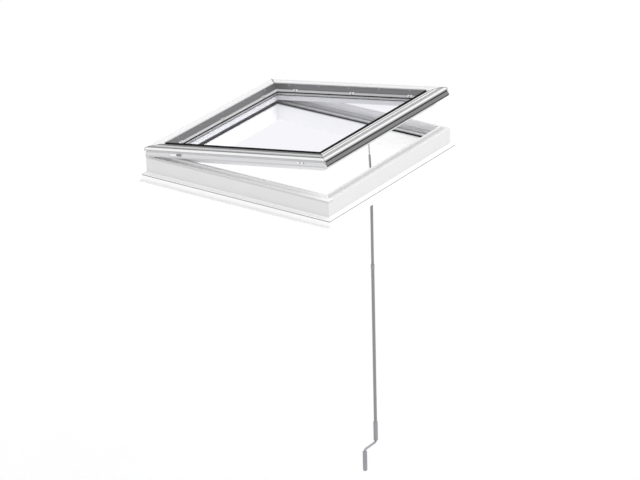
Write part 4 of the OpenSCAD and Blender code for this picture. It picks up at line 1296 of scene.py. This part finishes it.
@dataclass
class Opener(Assembly):
    """The two-stage screw opener between kerb and sash.

    Attributes:
        pivot: The nut's pivot.
        lean: Lean of the spindle from plumb, towards the hinges.
        low: Foot of the inner stage, along the spindle from the pivot.
        pin: Place of the spindle pin along the spindle.
        core_r: Radius of the thread's root.
        crest_r: Radius of the thread's crest.
        pitch: Pitch of the thread.
        eye_r: Radius of the eye around the spindle pin.
        eye_w: Width of that eye.
        eye_edge: Size of the eye's broken edges.
        bore_r: Radius of the eye's bore.
        around: Points round the thread.
        steps: Points along one pitch of the thread.
        eye_around: Points round the eye.
    """

    pivot: tuple[float, float, float] = (0.0, -0.468, 0.060)
    lean: float = math.radians(2.682)
    low: float = 0.084
    pin: float = 0.21636
    core_r: float = 0.0029
    crest_r: float = 0.0035
    pitch: float = 0.0025
    eye_r: float = 0.006
    eye_w: float = 0.007
    eye_edge: float = 0.0006
    bore_r: float = 0.0031
    around: int = 20
    steps: int = 6
    eye_around: int = 32

    def along_spindle(self, points: np.ndarray) -> np.ndarray:
        """Turns points of the spindle's own frame into the part's frame.

        Args:
            points: An array whose last axis is x, y, z from the pivot, z along the spindle.

        Returns:
            The same points, leaned and moved to the pivot.
        """
        c, s = math.cos(self.lean), math.sin(self.lean)
        x, y, z = points[..., 0], points[..., 1], points[..., 2]
        return np.stack([x, y * c + z * s, z * c - y * s], axis=-1) + np.array(self.pivot)

    def threaded_stage(self) -> None:
        """The inner stage with its thread and the eye around the spindle pin.

        The rod's radius at an angle and a height is the root's plus a ridge: the ridge's
        height is the share of a pitch that the point is past the last root, made into a
        triangle wave and cut flat on top. The eye is a turned barrel about x with a bore,
        and the rod's top ends inside the barrel's wall.
        """
        angle = round_angles(self.around)
        top = self.pin - self.eye_r * 0.7
        height = np.arange(self.low, top, self.pitch / self.steps)[None]
        share = np.mod(height / self.pitch - angle / (2 * np.pi), 1.0)
        ridge = np.clip(1.6 * (1 - np.abs(2 * share - 1)), 0, 1)
        radius = self.core_r + (self.crest_r - self.core_r) * ridge
        rod = turned(radius, height, angle)
        ends = rod[:, [0, -1]] * np.array([0, 0, 1.0])
        rod = np.concatenate([ends[:, :1], rod, ends[:, 1:]], axis=1)
        half, edge = self.eye_w / 2, self.eye_edge
        barrel = lathe(np.array([
            [self.bore_r, -half], [self.eye_r - edge, -half], [self.eye_r, -half + edge],
            [self.eye_r, half - edge], [self.eye_r - edge, half], [self.bore_r, half]]),
            self.eye_around)
        barrel = barrel[..., [2, 0, 1]] + np.array([0, 0, self.pin])
        shape = Shape()
        shape.grid(self.along_spindle(rod), closed_u=True)
        shape.grid(self.along_spindle(barrel), closed_u=True, closed_v=True)
        self.add(shape.build("threaded_inner_stage"), "inner_stage", ALUMINIUM, "spindle_rod")

    def build(self) -> None:
        """Dresses the opener and adds the thread."""
        self.dress({"nut_block": NUT,
                    **dict.fromkeys(("spindle_tube", "spindle_pin", "drive_eye"), STEEL)})
        self.threaded_stage()


@dataclass
class CrankRod(Assembly):
    """The telescopic rod with its hook, crank and grips."""

    def build(self) -> None:
        """Dresses the rod."""
        grips = dict.fromkeys(("tube_collar", "upper_grip", "handle_grip", "handle_cap"), GRIP)
        self.dress({"rod_hook": STEEL, "upper_tube": ROD, "lower_tube": ROD, "crank_bar": BAR,
                    **grips})


# Studio

@dataclass
class Studio:
    """Camera, floor, backdrop and lamps.

    Attributes:
        azimuth: The camera's turn from the opener's side, in degrees.
        elevation: The camera's height above the horizon, in degrees.
        roll: The camera's roll, in degrees.
        eye: Where the camera stands.
        lens: Focal length on a film 36 mm wide.
        floor_z: Height of the floor.
        floor_half: Half the floor's width.
        floor_white: Share of the light that the floor throws back.
        sky: Strength of the even light from the world.
        key: Strength of the soft sun.
        key_width: Width of that sun, in degrees.
        towards: Its direction from the object.
        bounce: Strength of the light that the floor adds from below.
        bounce_share: Share of that light in the floor's surface.
        plain: How much of the floor's own light is plain white where it is seen.
    """

    azimuth: float = -55.1308
    elevation: float = 24.1124
    roll: float = -1.4447
    eye: tuple[float, float, float] = (-13.51029953, -9.5366463, 6.95459743)
    lens: float = 3255.654 / 640 * 36
    floor_z: float = -2.15
    floor_half: float = 30.0
    floor_white: float = 0.98
    sky: float = 0.74
    key: float = 1.04
    key_width: float = 40.0
    towards: tuple[float, float, float] = (0.10, -0.47, 0.875)
    bounce: float = 2.6
    bounce_share: float = 0.2
    plain: float = 0.62

    def camera(self) -> None:
        """Sets the camera at the photograph's place and angle."""
        a, e, r = (math.radians(v) for v in (self.azimuth, self.elevation, self.roll))
        back = Vector((math.sin(a) * math.cos(e), -math.cos(a) * math.cos(e), math.sin(e)))
        right = (-back).cross(Vector((0, 0, 1))).normalized()
        up = right.cross(-back)
        right, up = (math.cos(r) * right + math.sin(r) * up,
                     -math.sin(r) * right + math.cos(r) * up)
        data = bpy.data.cameras.new("photo_camera")
        data.sensor_width = 36.0
        data.sensor_fit = "HORIZONTAL"
        data.lens = self.lens
        data.clip_end = 200.0
        made = bpy.data.objects.new("photo_camera", data)
        turn = Matrix((right, up, back)).transposed().to_4x4()
        made.matrix_world = Matrix.Translation(self.eye) @ turn
        bpy.context.scene.collection.objects.link(made)
        bpy.context.scene.camera = made

    def seen_white(self, tree: ShaderTree) -> Value:
        """1 for camera, mirror and glass rays, for which the backdrop is plain white."""
        path = tree.node("ShaderNodeLightPath")
        return path.out("Is Camera Ray").most(path.out("Is Glossy Ray")).most(
            path.out("Is Transmission Ray"))

    def floor(self) -> None:
        """A wide pale floor that keeps the object's soft shadow."""
        wide = np.linspace(-self.floor_half, self.floor_half, 3)
        x, y = np.meshgrid(wide, wide, indexing="ij")
        plane = Shape().grid(np.stack([x, y, np.full_like(x, self.floor_z)], axis=-1))
        made = plane.build("studio_floor", smooth=False)
        material = bpy.data.materials.new("studio_floor_white")
        tree = ShaderTree(material)
        matt = tree.node("ShaderNodeBsdfDiffuse", None,
                         {"Color": (*[self.floor_white] * 3, 1.0)}).out("BSDF")
        seen = self.blend(tree, self.plain, matt, self.glow(tree, 1.0))
        lit = self.blend(tree, self.bounce_share, matt, self.glow(tree, self.bounce))
        tree.surface(self.blend(tree, self.seen_white(tree), lit, seen))
        made.data.materials.append(material)

    def glow(self, tree: ShaderTree, strength: float) -> Value:
        """A plain white emission."""
        return tree.node("ShaderNodeEmission", None,
                         {"Color": (1, 1, 1, 1), "Strength": strength}).out("Emission")

    def blend(self, tree: ShaderTree, factor: Value | float, first: Value,
              second: Value) -> Value:
        """A mix of two shaders."""
        return tree.node("ShaderNodeMixShader", None, {
            "Fac": factor, "Shader": first, "Shader_001": second}).out("Shader")

    def world(self) -> None:
        """An even sky that looks plain white."""
        world = bpy.data.worlds.new("studio_world")
        bpy.context.scene.world = world
        tree = ShaderTree(world)
        even, plain = (tree.node("ShaderNodeBackground", None, {
            "Color": (1, 1, 1, 1), "Strength": strength}).out("Background")
            for strength in (self.sky, 1.0))
        tree.node("ShaderNodeOutputWorld", None, {
            "Surface": self.blend(tree, self.seen_white(tree), even, plain)})

    def lamps(self) -> None:
        """One broad soft sun from above the opener's side."""
        data = bpy.data.lights.new("soft_key", "SUN")
        data.energy = self.key
        data.angle = math.radians(self.key_width)
        made = bpy.data.objects.new("soft_key", data)
        made.matrix_world = Vector(self.towards).to_track_quat("Z", "Y").to_matrix().to_4x4()
        bpy.context.scene.collection.objects.link(made)

    def build(self) -> None:
        """Sets up the whole studio."""
        bpy.context.scene.view_settings.view_transform = "Standard"
        self.camera()
        self.world()
        self.floor()
        self.lamps()
        LOG.info("studio ready")


def corners(bounds: Iterable[Vector]) -> list[list[float]]:
    """A box's two corners as plain lists."""
    return [[float(c) for c in corner] for corner in bounds]


def main() -> None:
    """Builds the studio and each sub-assembly in order."""
    logging.basicConfig(level=logging.INFO, format="%(name)s: %(message)s")
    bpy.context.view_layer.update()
    Studio().build()
    for assembly in (Kerb(), Sash(), Opener(), CrankRod()):
        assembly.build()
        LOG.info("finished %s", type(assembly).__name__)


if __name__ == "__main__":
    main()
